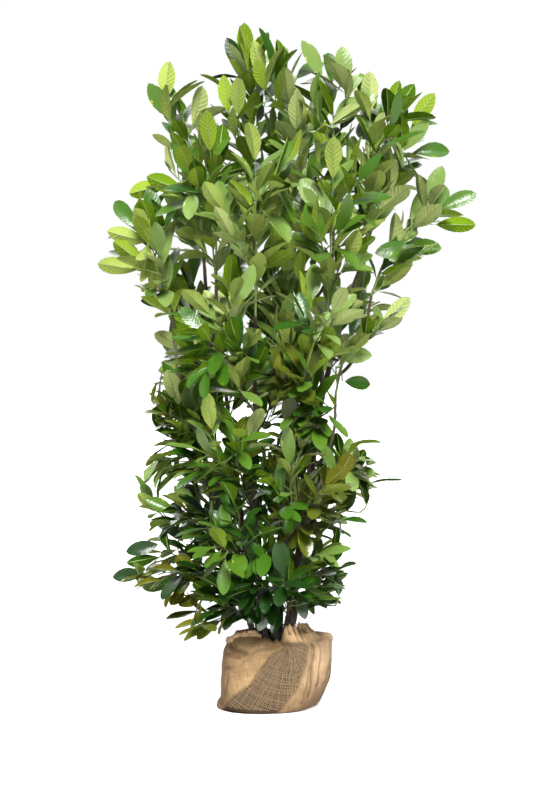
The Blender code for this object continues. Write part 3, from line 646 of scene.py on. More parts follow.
@dataclass
class Twig:
    """A leader, side twig or fine twig, the mass that it belongs to and the twig that bears it."""

    mass: str
    order: int
    path: list
    foot_radius: float
    tint: str
    bearer: object = None
    at: float = 0.0  # the share of the bearer's length where it starts
    tip: Vector = None  # where the end leaf's tip is given
    leafy: float = 0.0  # the share of its length that bears leaves or leafy twigs


class Leaf(NamedTuple):
    """One leaf: its mass, its stalk's foot, the ways it points and faces, its size, tint and shape."""

    mass: str
    root: Vector
    direction: Vector
    face_up: Vector
    size: float
    tint: str
    variant: int


def side_heading(start, along, tip):
    """The way a side shoot leaves a limb towards a tip: outward, and a little along the limb."""
    outward = Vector((tip.x - start.x, tip.y - start.y, 0)).normalized()
    return (outward + along * SIDE_LEAN).normalized()


def stem_limb(foot, knee, shoulder, tip, radius):
    corners = [Vector((*foot, GROUND)), Vector(knee), Vector(shoulder), Vector(tip)]
    path = [spline(corners, i / STEM_SPANS) for i in range(STEM_SPANS + 1)]
    climb = tip[2] - GROUND
    path.insert(1, path[0].lerp(path[1], FLARE_HEIGHT / (path[1].z - GROUND)))
    radii = [radius + (STEM_TIP_RADIUS - radius) * (point.z - GROUND) / climb for point in path]
    radii[0] *= 1 + FLARE
    return Limb(path, radii)


def bough_limb(stem, height, tip):
    start, along, radius = stem.at_height(height)
    tip = Vector(tip)
    path = bent(start, side_heading(start, along, tip), tip, BOUGH_SPANS)
    radii = between(min(BOUGH_RADIUS, radius * SIDE_SHARE), LEADER_RADIUS, len(path))
    return Limb(path, radii)


@cache
def grown_limbs():
    limbs = {name: stem_limb(*sizes) for name, sizes in STEMS.items()}
    for name, (stem, height, tip) in BOUGHS.items():
        limbs[name] = bough_limb(limbs[stem], height, tip)
    return limbs


def grown_leaders(limbs):
    leaders = {}
    for name, (bearer, height, tip) in MASSES.items():
        limb, tip = limbs[bearer], Vector(tip)
        if height is None:
            heading = (limb.path[-1] - limb.path[-2]).normalized()
            start = limb.path[-1] + heading * GAP
        else:
            start, along, _ = limb.at_height(height)
            heading = side_heading(start, along, tip)
        finish = tip - (tip - start).normalized() * END_LEAF_REACH
        spans = max(2, round((finish - start).length / SPAN_LENGTH))
        leaders[name] = bent(start, heading, finish, spans)
    return leaders


class Crown:
    """The room of each mass, and what stands in it already."""

    def __init__(self, limbs, leaders):
        self.limb_trees = []
        for limb in limbs.values():
            radius = max(limb.radii[1:]) + LIMB_CLEARANCE
            self.limb_trees.append(tube_tree(limb.path, radius, 7))
        spans = [(name, *span) for name, path in leaders.items() for span in zip(path, path[1:])]
        self.owners, self.starts, self.ends = (np.array(column) for column in zip(*spans))

    def distances(self, points):
        """The distance from every point to every span of every leader."""
        spans = self.ends - self.starts
        offsets = np.array(points)[:, None] - self.starts[None]
        shares = (offsets * spans).sum(-1) / (spans * spans).sum(-1)
        return np.linalg.norm(offsets - np.clip(shares, 0, 1)[..., None] * spans, axis=-1)

    def has_room(self, name, points, slack=0.0):
        """True if the points lie in the mass's own room, give or take the slack, and off the ball."""
        places = np.array(points)
        low = places[:, 2] < BALL_CLEAR[1]
        if (low & (np.linalg.norm(places[:, :2], axis=1) < BALL_CLEAR[0])).any():
            return False
        away = self.distances(points)
        own = away[:, self.owners == name].min(axis=1)
        other = away[:, self.owners != name].min(axis=1)
        return own.max() < REACH + slack and (other - own).min() > ROOM_GAP - slack

    def clear_of_limbs(self, tree):
        return not any(tree.overlap(limb) for limb in self.limb_trees)


def climbing_twig(root, axis, turn, spread, reach):
    """A path that leaves the axis at an angle and turns up."""
    one, two = across(axis)
    out = one * cos(turn) + two * sin(turn)
    heading = axis * cos(spread) + out * sin(spread)
    spans = 1 if reach < SHORT_TWIG else 2
    path = [root]
    for _ in range(spans):
        path.append(path[-1] + heading * (reach / spans))
        heading = (heading + up(UPWARD_PULL / spans)).normalized()
    return path


def side_twig(name, k, root, axis, reach, crown):
    """A side twig, shortened until it has room, or None."""
    rng = random.Random(f"{name} twig {k}")
    turn = (k + rng.uniform(0, TURN_JITTER)) * GOLDEN_ANGLE
    reach *= rng.uniform(0.8, 1.0)
    while reach > SHORTEST_TWIG:
        path = climbing_twig(root, axis, turn, DIVERGENCE, reach)
        tested = path[1:] + [path[0].lerp(path[1], 0.5)]
        if crown.has_room(name, tested) and crown.clear_of_limbs(tube_tree(path, TWIG_ROOM)):
            return path
        reach *= SHRINK
    return None


def lengthened(path, extra):
    """A path with its last span made longer."""
    return path[:-1] + [path[-1] + (path[-1] - path[-2]).normalized() * extra]


def spray_tint(tip, rng):
    """The tint of one spray: a random tone with painted light and shade, bright high up and outside, deep low
    down and inside, and olive low down.
    """
    high = min(1.0, (tip.z - 0.30) / 1.25)
    out = min(1.0, hypot(tip.x, tip.y) / 0.38)
    light = 0.14 + 0.38 * high + 0.24 * out + rng.uniform(-0.53, 0.53)
    light += np.interp(tip.z, *CROWN_LIGHT)
    light -= np.interp(tip.z, *FOOT_SHADE)
    olive = np.interp(tip.z, *OLIVE_SHARE)
    if any(hypot((tip.x - x) / wide, (tip.z - z) / tall) < 1 for x, z, wide, tall in OLIVE_PLACES):
        olive = 0.60
    if light < 0.80 and tip.y < 0.1 and rng.random() < olive:
        return "olive"
    for limit, tint in TINT_LIMITS:
        if light < limit:
            return tint
    return "young"


@cache
def grown_twigs():
    """Every leader, side twig and fine twig of the plant."""
    sizes = bpy.context.scene.laurel_foliage
    limbs = grown_limbs()
    leaders = grown_leaders(limbs)
    crown = Crown(limbs, leaders)
    extra = END_LEAF_REACH - sizes.leaf_length - sizes.stalk_length
    most, lost = TWIG_TAPER
    twigs = []
    for name, leader in leaders.items():
        first = len(twigs)
        reach = path_length(leader)
        count = max(3, round(reach * (LAST_TWIG - FIRST_TWIG) / TWIG_SPACING) + 1)
        rough = [(0, leader, LEADER_RADIUS, 0.0)]
        for k, at in enumerate(between(FIRST_TWIG, LAST_TWIG, count)):
            root, axis = point_along(leader, at)
            path = side_twig(name, k, root, axis, TWIG_LENGTH * (most - lost * at), crown)
            if path:
                rough.append((1, path, sizes.twig_radius, at))
        for k, (order, path, radius, at) in enumerate(rough):
            rng = random.Random(f"{name} spray {k}")
            path = smooth_path(lengthened(path, extra))
            bearer = twigs[first] if order else None
            first = first if order else len(twigs)
            twig = Twig(name, order, path, radius, spray_tint(path[-1], rng), bearer, at)
            twigs.append(twig)
            twigs += fine_twigs(twig, rng, crown, sizes)
    twigs += outer_shoots(twigs, crown, sizes)
    twigs += neck_twigs(limbs, sizes)
    return twigs, crown


def outer_shoots(twigs, crown, sizes):
    """The listed shoots, each from the nearest wood of its mass."""
    grown = []
    for mass, tip in ((mass, Vector(tip)) for mass, *tips in SHOOTS for tip in tips):
        rng = random.Random(f"shoot {tip}")
        wood = []
        for twig in twigs:
            if twig.mass == mass and twig.order < 2:
                wood += [(place, twig, i) for i, place in enumerate(twig.path[:-1])]
        far = [item for item in wood if (item[0] - tip).length > SHOOT_REACH]

        def cost(item):
            return (item[0] - tip).length + HANG_COST * max(0, item[0].z - tip.z)

        root, bearer, i = min(far or wood, key=cost)
        axis = (bearer.path[i + 1] - bearer.path[i]).normalized()
        way = (tip - root).normalized()
        level = tip.x > LEVEL_ASIDE and tip.z < LOW_CROWN or tip.z < LEVEL_BELOW
        leaf_way = Vector((way.x, way.y, way.z * (LEVEL_SLOPE if level else 1.0))).normalized()
        leaf_share = np.interp(tip.z, *END_LEAF_SIZES)
        end = tip - leaf_way * (sizes.leaf_length + sizes.stalk_length) * leaf_share
        path = bent(root, (axis + way * SHOOT_AIM).normalized(), end, 3)
        if not crown.clear_of_limbs(tube_tree(path, FINE_TWIG_ROOM)):
            path = [root.lerp(end, t) for t in (0.0, 0.33, 0.67, 1.0)]
        at = i / (len(bearer.path) - 1)
        tint = spray_tint(tip, rng)
        grown.append(Twig(mass, SHOOT, smooth_path(path), sizes.twig_radius, tint, bearer, at, tip))
    return grown


def neck_twigs(limbs, sizes):
    """The short twigs that bear the drooping leaves above the ball."""
    grown = []
    rng = random.Random("neck")
    for stem, height, foot, tip in NECK_LEAVES:
        start, along, _ = limbs[stem].at_height(height)
        path = bent(start, side_heading(start, along, Vector(foot)), Vector(foot), 3)
        # each neck leaf is given the painted sheen or the painted shade, at random
        tint = rng.choice(("dusty", "shade"))
        radius = sizes.twig_radius * 0.7
        grown.append(Twig(NECK_MASS, NECK, smooth_path(path, 0.012), radius, tint, tip=Vector(tip)))
    return grown


def fine_twigs(bearer, rng, crown, sizes):
    """The finest twigs on a leader or side twig, which keep to its mass's room."""
    grown = []
    top = bearer.path[-1].z
    slack = LOW_SLACK if top < LOW_CROWN else 0.0
    spacing = sizes.fine_twig_spacing * np.interp(top, *TWIG_CLOSENESS)
    count = int(path_length(bearer.path) * FINE_TWIG_SHARE / spacing)
    phase = rng.uniform(0, 2 * pi)
    for i in range(count):
        at = FINE_TWIG_START + FINE_TWIG_RUN * (i + rng.uniform(0.2, 0.8)) / count
        root, axis = point_along(bearer.path, at)
        for attempt in range(FINE_TWIG_TRIES):
            turn = phase + (i + attempt * 0.4) * GOLDEN_ANGLE
            span = sizes.fine_twig_length * rng.uniform(0.65, 1.15) * (1.0 - 0.22 * attempt)
            path = climbing_twig(root, axis, turn, DIVERGENCE * rng.uniform(0.8, 1.15), span)
            tested = [path[0].lerp(path[-1], 0.5), path[-1]]
            if not in_profile(path[-1]) or not crown.has_room(bearer.mass, tested, slack):
                continue
            if crown.clear_of_limbs(tube_tree(path, FINE_TWIG_ROOM)):
                tint = bearer.tint if rng.random() < 0.75 else spray_tint(path[-1], rng)
                radius = sizes.twig_radius * FINE_TWIG_SHARE
                grown.append(Twig(bearer.mass, 2, smooth_path(path), radius, tint, bearer, at))
                break
    return grown


def leaf_pose(axis, turn, spread):
    """The way a leaf points and the way its upper side faces: to the axis, or up on a level twig."""
    one, two = across(axis)
    radial = one * cos(turn) + two * sin(turn)
    level = 1 - abs(axis.z)
    radial = Vector((radial.x, radial.y, radial.z * (1 - FLATNESS * level))).normalized()
    direction = axis * cos(spread) + radial * sin(spread)
    direction = (direction - up(DROOP * level)).normalized()
    inward = (axis - direction * axis.dot(direction)).normalized()
    upward = up(1) - direction * direction.z
    face_up = inward * (1 - level) + upward * level
    return direction, (face_up - direction * face_up.dot(direction)).normalized()


def blade_corners(leaf, sizes):
    """A flat outline of a leaf's blade, for testing what it crosses: its foot, sides and tip."""
    side = leaf.direction.cross(leaf.face_up)
    reach, wide = sizes.leaf_length * leaf.size, sizes.leaf_width * leaf.size * 0.5
    foot = leaf.root + leaf.direction * sizes.stalk_length
    outline = ((0.38, -0.8), (0.8, -0.85), (1.0, 0), (0.8, 0.85), (0.38, 0.8))
    return [foot] + [foot + leaf.direction * (reach * along) + side * (wide * off) for along, off in outline]


def seen_at(place):
    """Where a place shows on the plant's middle plane from the front: its x and its height."""
    share = VIEW_DISTANCE / (VIEW_DISTANCE + place.y)
    return place.x * share, VIEW_HEIGHT + (place.z - VIEW_HEIGHT) * share


def in_profile(tip, slack=0.0):
    """True if a leaf's tip stays within the crown's profile, give or take the slack."""
    aside, height = seen_at(tip)
    if height < PROFILE_HEIGHTS[0] or (abs(aside) < OVER_BALL[0] and height < OVER_BALL[1]):
        return False
    left = np.interp(height, PROFILE_HEIGHTS, PROFILE_LEFT) - PROFILE_SLACK - slack
    right = np.interp(height, PROFILE_HEIGHTS, PROFILE_RIGHT) + PROFILE_SLACK + slack
    return left < aside < right


def leaves_sky(corners):
    """True if a leaf's middle keeps out of the open places."""
    aside, height = seen_at(corners[0].lerp(corners[3], 0.55))
    for x, z, wide, tall in OPEN_PLACES:
        if ((aside - x) / (wide + OPEN_MARGIN)) ** 2 + ((height - z) / (tall + OPEN_MARGIN)) ** 2 < 1:
            return False
    return True


def in_box(tip):
    """True if a leaf's tip stays in the solids' box, give or take a small margin, and off the cloth."""
    if tip.z < NECK_CLEAR[1] and hypot(tip.x, tip.y) < NECK_CLEAR[0]:
        return False
    low, high = CAD_BOUNDS
    return all(low[i] - BOX_MARGIN < tip[i] < high[i] + BOX_MARGIN for i in range(3))


def leaf_places(twig, sizes, rng):
    """Leaves in a spiral up a twig: root, axis, turn round it, spread from it, and size."""
    path = twig.path
    first = FIRST_LEAVES[twig.order]
    reach = path_length(path) * (1 - first)
    spacing = sizes.leaf_spacing * (1.15 if twig.order == SHOOT else np.interp(path[-1].z, *LEAF_CLOSENESS))
    count = max(3, round(reach / spacing) + 1)
    phase = rng.uniform(0, 2 * pi)
    for i, t in enumerate(between(first, 1, count)):
        root, axis = point_along(path, t)
        spread = radians(62 - 26 * t + rng.uniform(-9, 9))
        size = (0.80 + 0.30 * sin(pi * (0.15 + 0.75 * t))) * rng.uniform(0.86, 1.06)
        size *= np.interp(path[-1].z, *LEAF_SIZES)
        if i == count - 1:
            spread, size = radians(8), rng.uniform(0.9, 1.0)
        turn = phase + i * GOLDEN_ANGLE
        if twig.order == SHOOT and path[-1].z > LOW_CROWN:
            turn = pi / 2 + pi * (i % 2) + rng.uniform(-0.6, 0.6)
        yield t, root, axis, turn, spread, size


def end_leaf(twig, sizes):
    """A leaf from the end of a twig to a tip that is given."""
    rng = random.Random(f"end leaf {twig.tip}")
    toward = Vector((rng.uniform(-0.5, 0.5), rng.choice((-1, 1)) if twig.order == SHOOT else -1, 0.25))
    if twig.order == SHOOT and twig.tip.z < 0.80 and rng.random() < 0.7:
        toward = Vector((0, toward.y * 0.3, 1))
    variant = rng.randrange(LEAF_VARIANTS)
    return leaf_between(twig.mass, twig.path[-1], twig.tip, toward, sizes, twig.tint, variant)


def leaf_between(mass, root, tip, toward, sizes, tint, variant):
    """A leaf that reaches from its root to its tip, with its upper side turned toward a side."""
    direction = (tip - root).normalized()
    face_up = (toward - direction * toward.dot(direction)).normalized()
    size = (tip - root).length / (sizes.leaf_length + sizes.stalk_length)
    return Leaf(mass, root, direction, face_up, size, tint, variant)


class Canopy:
    """The leaves that are placed so far, for testing what a new one would cross."""

    def __init__(self, twigs, crown):
        self.crown = crown
        self.wood = wood_tree(twigs)
        self.leaves = []
        self.trees = []
        self.middles = np.full((MOST_LEAVES, 3), 99.0)

    def takes(self, leaf, sizes, slack=0.0, free=False):
        """Keeps a leaf if it crosses nothing and, unless it is free, stays in its mass's room."""
        corners = blade_corners(leaf, sizes)
        tip = corners[3]
        if not free:
            if not (in_box(tip) and in_profile(tip, slack / 2) and leaves_sky(corners)):
                return False
            if not self.crown.has_room(leaf.mass, corners[1:], slack):
                return False
        tree = BVHTree.FromPolygons(corners, [(0, 1, 5), (1, 2, 4, 5), (2, 3, 4)])
        if not self.crown.clear_of_limbs(tree) or (not free and tree.overlap(self.wood)):
            return False
        middle = np.array(corners[0].lerp(tip, 0.5))
        near = ((self.middles[: len(self.leaves)] - middle) ** 2).sum(1) < LEAF_NEAR**2
        if any(tree.overlap(self.trees[i]) for i in np.flatnonzero(near)):
            return False
        self.middles[len(self.leaves)] = middle
        self.trees.append(tree)
        self.leaves.append(leaf)
        return True


@cache
def grown_leaves():
    """Every leaf: first the listed end leaves, then those that grow by rule, clear of all before."""
    sizes = bpy.context.scene.laurel_foliage
    twigs, crown = grown_twigs()
    canopy = Canopy(twigs, crown)
    for twig in (twig for twig in twigs if twig.tip):
        if canopy.takes(end_leaf(twig, sizes), sizes, free=True):
            twig.leafy = 1.0
    order = sorted(twigs, key=lambda twig: 0 if twig.order == SHOOT else 1 + twig.order)
    for k, twig in enumerate(order):
        if twig.order != NECK:
            add_leaves(twig, k, canopy, sizes)
    root, tip = WITHERED_LEAF
    canopy.leaves.append(leaf_between(NECK_MASS, root, tip, WITHERED_FACING, sizes, "withered", 1))
    return canopy.leaves


def add_leaves(twig, k, canopy, sizes):
    """Grows the leaves of one twig, each in the first of its poses that crosses nothing."""
    rng = random.Random(f"{twig.mass} leaves {k}")
    top = twig.path[-1].z
    tuft = twig.order == 2 and top > TUFT_ABOVE and rng.random() < TUFT_SHARE
    tint, share = ("young", TUFT_SIZE) if tuft else (twig.tint, 1.0)
    slack = SHOOT_SLACK if twig.order == SHOOT else LOW_SLACK if top < LOW_CROWN else SLACK
    for at, root, axis, turn, spread, size in leaf_places(twig, sizes, rng):
        if twig.tip and at == 1:
            continue
        for spread_share, size_share, shift in LEAF_TRIES:
            direction, face_up = leaf_pose(axis, turn + radians(shift), spread * spread_share)
            variant = rng.randrange(LEAF_VARIANTS)
            leaf = Leaf(twig.mass, root, direction, face_up, size * share * size_share, tint, variant)
            if canopy.takes(leaf, sizes, slack):
                twig.leafy = max(twig.leafy, at)
                break


def wood_tree(twigs):
    """All the twigs as one tree of faces."""
    tubes = []
    for twig in twigs:
        radii = between(twig.foot_radius, 0.0015, len(twig.path))
        tubes.append(ring_points(twig.path, radii, 3))
    return BVHTree.FromPolygons(*joined_skins(tubes, 3))


# ---- materials


def principled(name, base, roughness, **settings):
    """A Principled material, its node tree and its shader."""
    made = bpy.data.materials.new(name)
    made.use_nodes = True
    shader = made.node_tree.nodes["Principled BSDF"]
    shader.inputs["Base Color"].default_value = (*base, 1)
    shader.inputs["Roughness"].default_value = roughness
    shader.inputs["Metallic"].default_value = 0.0
    for socket, value in settings.items():
        shader.inputs[socket.replace("_", " ")].default_value = value
    return made, made.node_tree, shader


def add_node(tree, kind, **settings):
    """A node with its own settings, and with its inputs set or linked."""
    node = tree.nodes.new(kind)
    inputs = settings.pop("inputs", {})
    for key, value in settings.items():
        setattr(node, key, value)
    for key, value in inputs.items():
        set_input(tree, node.inputs[key], value)
    return node


def set_input(tree, socket, value):
    """Links a node's socket to another's, or sets it to a number or a colour."""
    if isinstance(value, bpy.types.NodeSocket):
        tree.links.new(value, socket)
    elif socket.type == "RGBA":
        socket.default_value = (*value, 1)
    else:
        socket.default_value = value


def sums(tree, operation, first, second=0.0, third=0.0):
    """The result of one Math node."""
    node = add_node(tree, "ShaderNodeMath", operation=operation)
    for socket, value in zip(node.inputs, (first, second, third)):
        set_input(tree, socket, value)
    return node.outputs["Value"]


def product(tree, first, second):
    return sums(tree, "MULTIPLY", first, second)


def total(tree, *values):
    """The sum of some values, one Math node after another."""
    return reduce(lambda before, value: sums(tree, "ADD", before, value), values)


def ramp(tree, factor, stops):
    """The colour or grey of a Color Ramp with the given stops."""
    node = add_node(tree, "ShaderNodeValToRGB", inputs={"Fac": factor})
    elements = node.color_ramp.elements
    while len(elements) < len(stops):
        elements.new(0.5)
    for element, (place, value) in zip(elements, stops):
        element.position = place
        element.color = (*value, 1) if not isinstance(value, float) else (value, value, value, 1)
    return node.outputs["Color"]


def blended(tree, factor, first, second):
    """A mix of two colours."""
    node = add_node(tree, "ShaderNodeMix", data_type="RGBA")
    for key, value in (("Factor", factor), (6, first), (7, second)):
        set_input(tree, node.inputs[key], value)
    return node.outputs[2]


def grain(tree, vector, scale, detail=4.0, roughness=0.6):
    """The grey of a noise texture."""
    sizes = {"Vector": vector, "Scale": scale, "Detail": detail, "Roughness": roughness}
    return add_node(tree, "ShaderNodeTexNoise", inputs=sizes).outputs["Fac"]


def object_place(tree):
    return add_node(tree, "ShaderNodeTexCoord").outputs["Object"]


def axes(tree, vector):
    """A vector's parts, by the names X, Y and Z."""
    return add_node(tree, "ShaderNodeSeparateXYZ", inputs={"Vector": vector}).outputs


def stretched(tree, vector, scale):
    """A vector scaled differently along each axis."""
    return add_node(tree, "ShaderNodeMapping", inputs={"Vector": vector, "Scale": scale}).outputs["Vector"]


def add_bump(tree, shader, height, strength, distance):
    sizes = {"Height": height, "Strength": strength, "Distance": distance}
    bump = add_node(tree, "ShaderNodeBump", inputs=sizes)
    tree.links.new(bump.outputs["Normal"], shader.inputs["Normal"])


def blade_material(name, base, roughness, vein_depth, specular):
    """A leaf's side: one plain colour, with side veins and a soft quilting in its relief."""
    made, tree, shader = principled(name, base, roughness, Specular_IOR_Level=specular)
    parts = axes(tree, add_node(tree, "ShaderNodeUVMap", uv_map="UVMap").outputs["UV"])
    off_rib = sums(tree, "ABSOLUTE", sums(tree, "SUBTRACT", parts["X"], 0.5))
    climb = sums(tree, "SUBTRACT", product(tree, parts["Y"], 9.0), product(tree, off_rib, 3.4))
    saw = product(tree, sums(tree, "PINGPONG", climb, 0.5), 4.0)
    vein = sums(tree, "SMOOTH_MIN", saw, 1.0, 0.5)
    quilt = product(tree, grain(tree, object_place(tree), 34.0, 2.0), 1.5)
    add_bump(tree, shader, total(tree, product(tree, vein, vein_depth), quilt), 0.8, 0.0016)
    return made


def plain_material(name, base, roughness):
    """A twig's or thread's finish: one plain colour with a fine grain in its relief."""
    made, tree, shader = principled(name, base, roughness)
    add_bump(tree, shader, grain(tree, object_place(tree), 900.0, 3.0), 0.5, 0.0004)
    return made


def bark_material(name, sizes, young):
    """Bark: dark furrows, brown ridges, grey patches and a few red peeling streaks, darker at the foot."""
    made, tree, shader = principled(name, sizes.brown, 0.78)
    place = object_place(tree)
    long_grain = grain(tree, stretched(tree, place, (150.0, 150.0, 24.0)), 1.0, 6.0, 0.7)
    patches = grain(tree, stretched(tree, place, (30.0, 30.0, 11.0)), 1.0, 3.0)
    streaks = grain(tree, stretched(tree, place, (95.0, 95.0, 5.0)), 1.0, 2.0)
    wood = ramp(tree, long_grain, ((0.36, sizes.dark), (0.60, sizes.brown)))
    wood = blended(tree, ramp(tree, patches, ((0.52, 0.0), (0.66, 0.75))), wood, sizes.grey)
    wood = blended(tree, ramp(tree, streaks, ((0.60, 0.0), (0.70, 0.7))), wood, sizes.red)
    if young:
        wood = blended(tree, 0.62, wood, sizes.young)
    low = ramp(tree, axes(tree, place)["Z"], ((0.30, 0.72), (0.62, 0.0)))
    tree.links.new(blended(tree, low, wood, sizes.dark), shader.inputs["Base Color"])
    add_bump(tree, shader, long_grain, 0.9, 0.0016)
    return made


def hessian_material(sizes):
    """Jute cloth of uneven crossing threads: dark soil and painted shade under open threads, painted shade in
    folds, pale and painted light where frayed.
    """
    made, tree, shader = principled("hessian_cloth", sizes.tan, 0.93, Specular_IOR_Level=0.15)
    uv = add_node(tree, "ShaderNodeUVMap", uv_map="UVMap").outputs["UV"]
    parts = axes(tree, uv)
    waver = product(tree, grain(tree, uv, 38.0, 2.0), 5.0)
    warp = sums(tree, "SINE", total(tree, product(tree, parts["X"], 2300.0), waver))
    weft = sums(tree, "SINE", total(tree, product(tree, parts["Y"], 2150.0), waver))
    weave = product(tree, total(tree, warp, weft), 0.5)
    slubs_up = grain(tree, stretched(tree, uv, (620.0, 26.0, 1.0)), 1.0, 3.0)
    slubs_across = grain(tree, stretched(tree, uv, (22.0, 560.0, 1.0)), 1.0, 3.0)
    slubs = product(tree, total(tree, slubs_up, slubs_across), 0.5)
    soft = product(tree, grain(tree, uv, 17.0, 3.0), 0.24)
    tone = total(tree, product(tree, slubs, 0.95), soft, product(tree, weave, 0.15))
    cloth = ramp(tree, tone, ((0.40, sizes.dull), (0.55, sizes.tan), (0.72, sizes.pale)))
    place = object_place(tree)
    at = axes(tree, place)
    blot = product(tree, sums(tree, "SUBTRACT", grain(tree, place, 16.0, 4.0), 0.5), 0.10)
    faded = ramp(tree, total(tree, at["X"], blot), ((0.04, 0.0), (0.16, 0.55)))
    # darker towards the bottom and higher up on the right: soil stain, with painted shade where the cut-away
    # bottom faces down
    aslant = product(tree, sums(tree, "MAXIMUM", at["X"], 0.0), -0.48)
    stained_and_shaded = ramp(tree, total(tree, at["Z"], blot, aslant), ((0.002, 0.62), (0.060, 0.0)))
    marks = [(faded, sizes.rose), (stained_and_shaded, sizes.stained_and_shaded)]
    # the stretched weave goes near black, for the dark soil seen through it and its painted shade; frayed
    # edges go pale, and paler still as painted light on the frill and roll in the leaves' shadow; sunk folds
    # and creases take painted shade
    for name, depth, tint in (
        ("stretch", 0.90, sizes.gap), ("frayed", 0.80, sizes.lit_fringe), ("hollow", 0.55, sizes.dull)
    ):
        given = add_node(tree, "ShaderNodeAttribute", attribute_name=name).outputs["Fac"]
        marks.append((product(tree, given, depth), tint))
    for factor, tint in marks:
        cloth = blended(tree, factor, cloth, tint)
    tree.links.new(cloth, shader.inputs["Base Color"])
    add_bump(tree, shader, total(tree, product(tree, weave, 0.5), slubs), 0.8, 0.0012)
    return made


def soil_material(sizes):
    """Dark crumbly soil with paler clods."""
    made, tree, shader = principled("soil", sizes.soil, 0.95)
    clods = grain(tree, object_place(tree), 120.0, 8.0, 0.7)
    pale = [channel * 2.6 for channel in sizes.soil]
    earth = ramp(tree, clods, ((0.35, sizes.soil), (0.75, pale)))
    tree.links.new(earth, shader.inputs["Base Color"])
    add_bump(tree, shader, clods, 1.0, 0.003)
    return made


# ---- objects and node trees


def add_object(name, data):
    """An object at the origin."""
    made = bpy.data.objects.new(name, data)
    bpy.context.scene.collection.objects.link(made)
    return made


def add_mesh(name, points, faces, materials=(), edges=()):
    mesh = bpy.data.meshes.new(name)
    mesh.from_pydata([tuple(point) for point in points], edges, faces)
    for finish in materials:
        mesh.materials.append(finish)
    return add_object(name, mesh)


def add_attribute(made, name, kind, values, domain="POINT"):
    attribute = made.data.attributes.new(name, kind, domain)
    key = "vector" if kind == "FLOAT_VECTOR" else "value"
    attribute.data.foreach_set(key, np.array(values, np.int32 if kind == "INT" else np.float32).ravel())


def add_uvs(made, corners):
    """Gives every corner of every face its place in the UV map."""
    layer = made.data.uv_layers.new(name="UVMap")
    layer.data.foreach_set("uv", np.array(corners, np.float32).ravel())


def new_tree(name, kinds):
    """An empty Geometry Nodes tree with a geometry input and output and the named inputs."""
    tree = bpy.data.node_groups.new(name, "GeometryNodeTree")
    tree.interface.new_socket("Geometry", in_out="OUTPUT", socket_type="NodeSocketGeometry")
    for label, kind in {"Geometry": "Geometry", **kinds}.items():
        tree.interface.new_socket(label, in_out="INPUT", socket_type="NodeSocket" + kind)
    return tree, tree.nodes.new("NodeGroupInput").outputs


def shaped(tree, kind, inputs, output="Geometry"):
    """What comes out of one Geometry node."""
    return add_node(tree, "GeometryNode" + kind, inputs=inputs).outputs[output]


def end_tree(tree, geometry, finishes):
    """Realizes the geometry, gives each selection of it a material, and sends it to the output."""
    geometry = shaped(tree, "RealizeInstances", {"Geometry": geometry})
    for selection, finish in finishes:
        chosen = {"Geometry": geometry, "Selection": selection, "Material": finish}
        geometry = shaped(tree, "SetMaterial", chosen)
    tree.links.new(geometry, tree.nodes.new("NodeGroupOutput").inputs["Geometry"])
    return tree


def named(tree, name, kind):
    node = add_node(tree, "GeometryNodeInputNamedAttribute", data_type=kind, inputs={"Name": name})
    return node.outputs["Attribute"]


@cache
def tube_nodes():
    """Round tubes along the edges of a mesh, as thick as its radius attribute says."""
    tree, given = new_tree("tubes_along_edges", {"Sides": "Int", "Material": "Material"})
    line = shaped(tree, "MeshToCurve", {"Mesh": given["Geometry"]}, "Curve")
    ring = shaped(tree, "CurvePrimitiveCircle", {"Resolution": given["Sides"], "Radius": 1.0}, "Curve")
    thick = named(tree, "radius", "FLOAT")
    sweep = {"Curve": line, "Profile Curve": ring, "Scale": thick, "Fill Caps": True}
    skin = shaped(tree, "CurveToMesh", sweep, "Mesh")
    smooth = shaped(tree, "SetShadeSmooth", {"Geometry": skin})
    return end_tree(tree, smooth, [(True, given["Material"])])


@cache
def spray_nodes():
    """A leaf at every point, turned, scaled and picked by the point's attributes."""
    kinds = {"Leaves": "Collection", "Upper": "Material", "Under": "Material", "Rib": "Material"}
    tree, given = new_tree("leaves_on_points", kinds)
    apart = {"Collection": given["Leaves"], "Separate Children": True, "Reset Children": True}
    places = {
        "Points": given["Geometry"],
        "Instance": shaped(tree, "CollectionInfo", apart, "Instances"),
        "Pick Instance": True,
        "Instance Index": named(tree, "variant", "INT"),
        "Rotation": named(tree, "facing", "QUATERNION"),
        "Scale": named(tree, "size", "FLOAT_VECTOR"),
    }
    part = named(tree, "leaf_part", "INT")
    finishes = []
    for value, label in enumerate(("Upper", "Under", "Rib")):
        same = add_node(
            tree, "FunctionNodeCompare", data_type="INT", operation="EQUAL", inputs={2: part, 3: value}
        )
        finishes.append((same.outputs["Result"], given[label]))
    return end_tree(tree, shaped(tree, "InstanceOnPoints", places, "Instances"), finishes)


@cache
def crumb_nodes():
    """Small crumbs scattered over the faces of a mesh."""
    kinds = {"Density": "Float", "Size": "Float", "Seed": "Int", "Material": "Material"}
    tree, given = new_tree("crumbs_on_faces", kinds)
    spread = {"Mesh": given["Geometry"], "Density": given["Density"], "Seed": given["Seed"]}
    points = add_node(tree, "GeometryNodeDistributePointsOnFaces", inputs=spread).outputs
    sizes = add_node(tree, "FunctionNodeRandomValue", data_type="FLOAT_VECTOR")
    sizes.inputs["Min"].default_value = (0.35, 0.35, 0.30)
    sizes.inputs["Max"].default_value = (1.3, 1.2, 0.9)
    places = {
        "Points": points["Points"],
        "Instance": shaped(tree, "MeshIcoSphere", {"Radius": given["Size"], "Subdivisions": 1}, "Mesh"),
        "Rotation": points["Rotation"],
        "Scale": sizes.outputs["Value"],
    }
    crumbs = shaped(tree, "InstanceOnPoints", places, "Instances")
    return end_tree(tree, crumbs, [(True, given["Material"])])


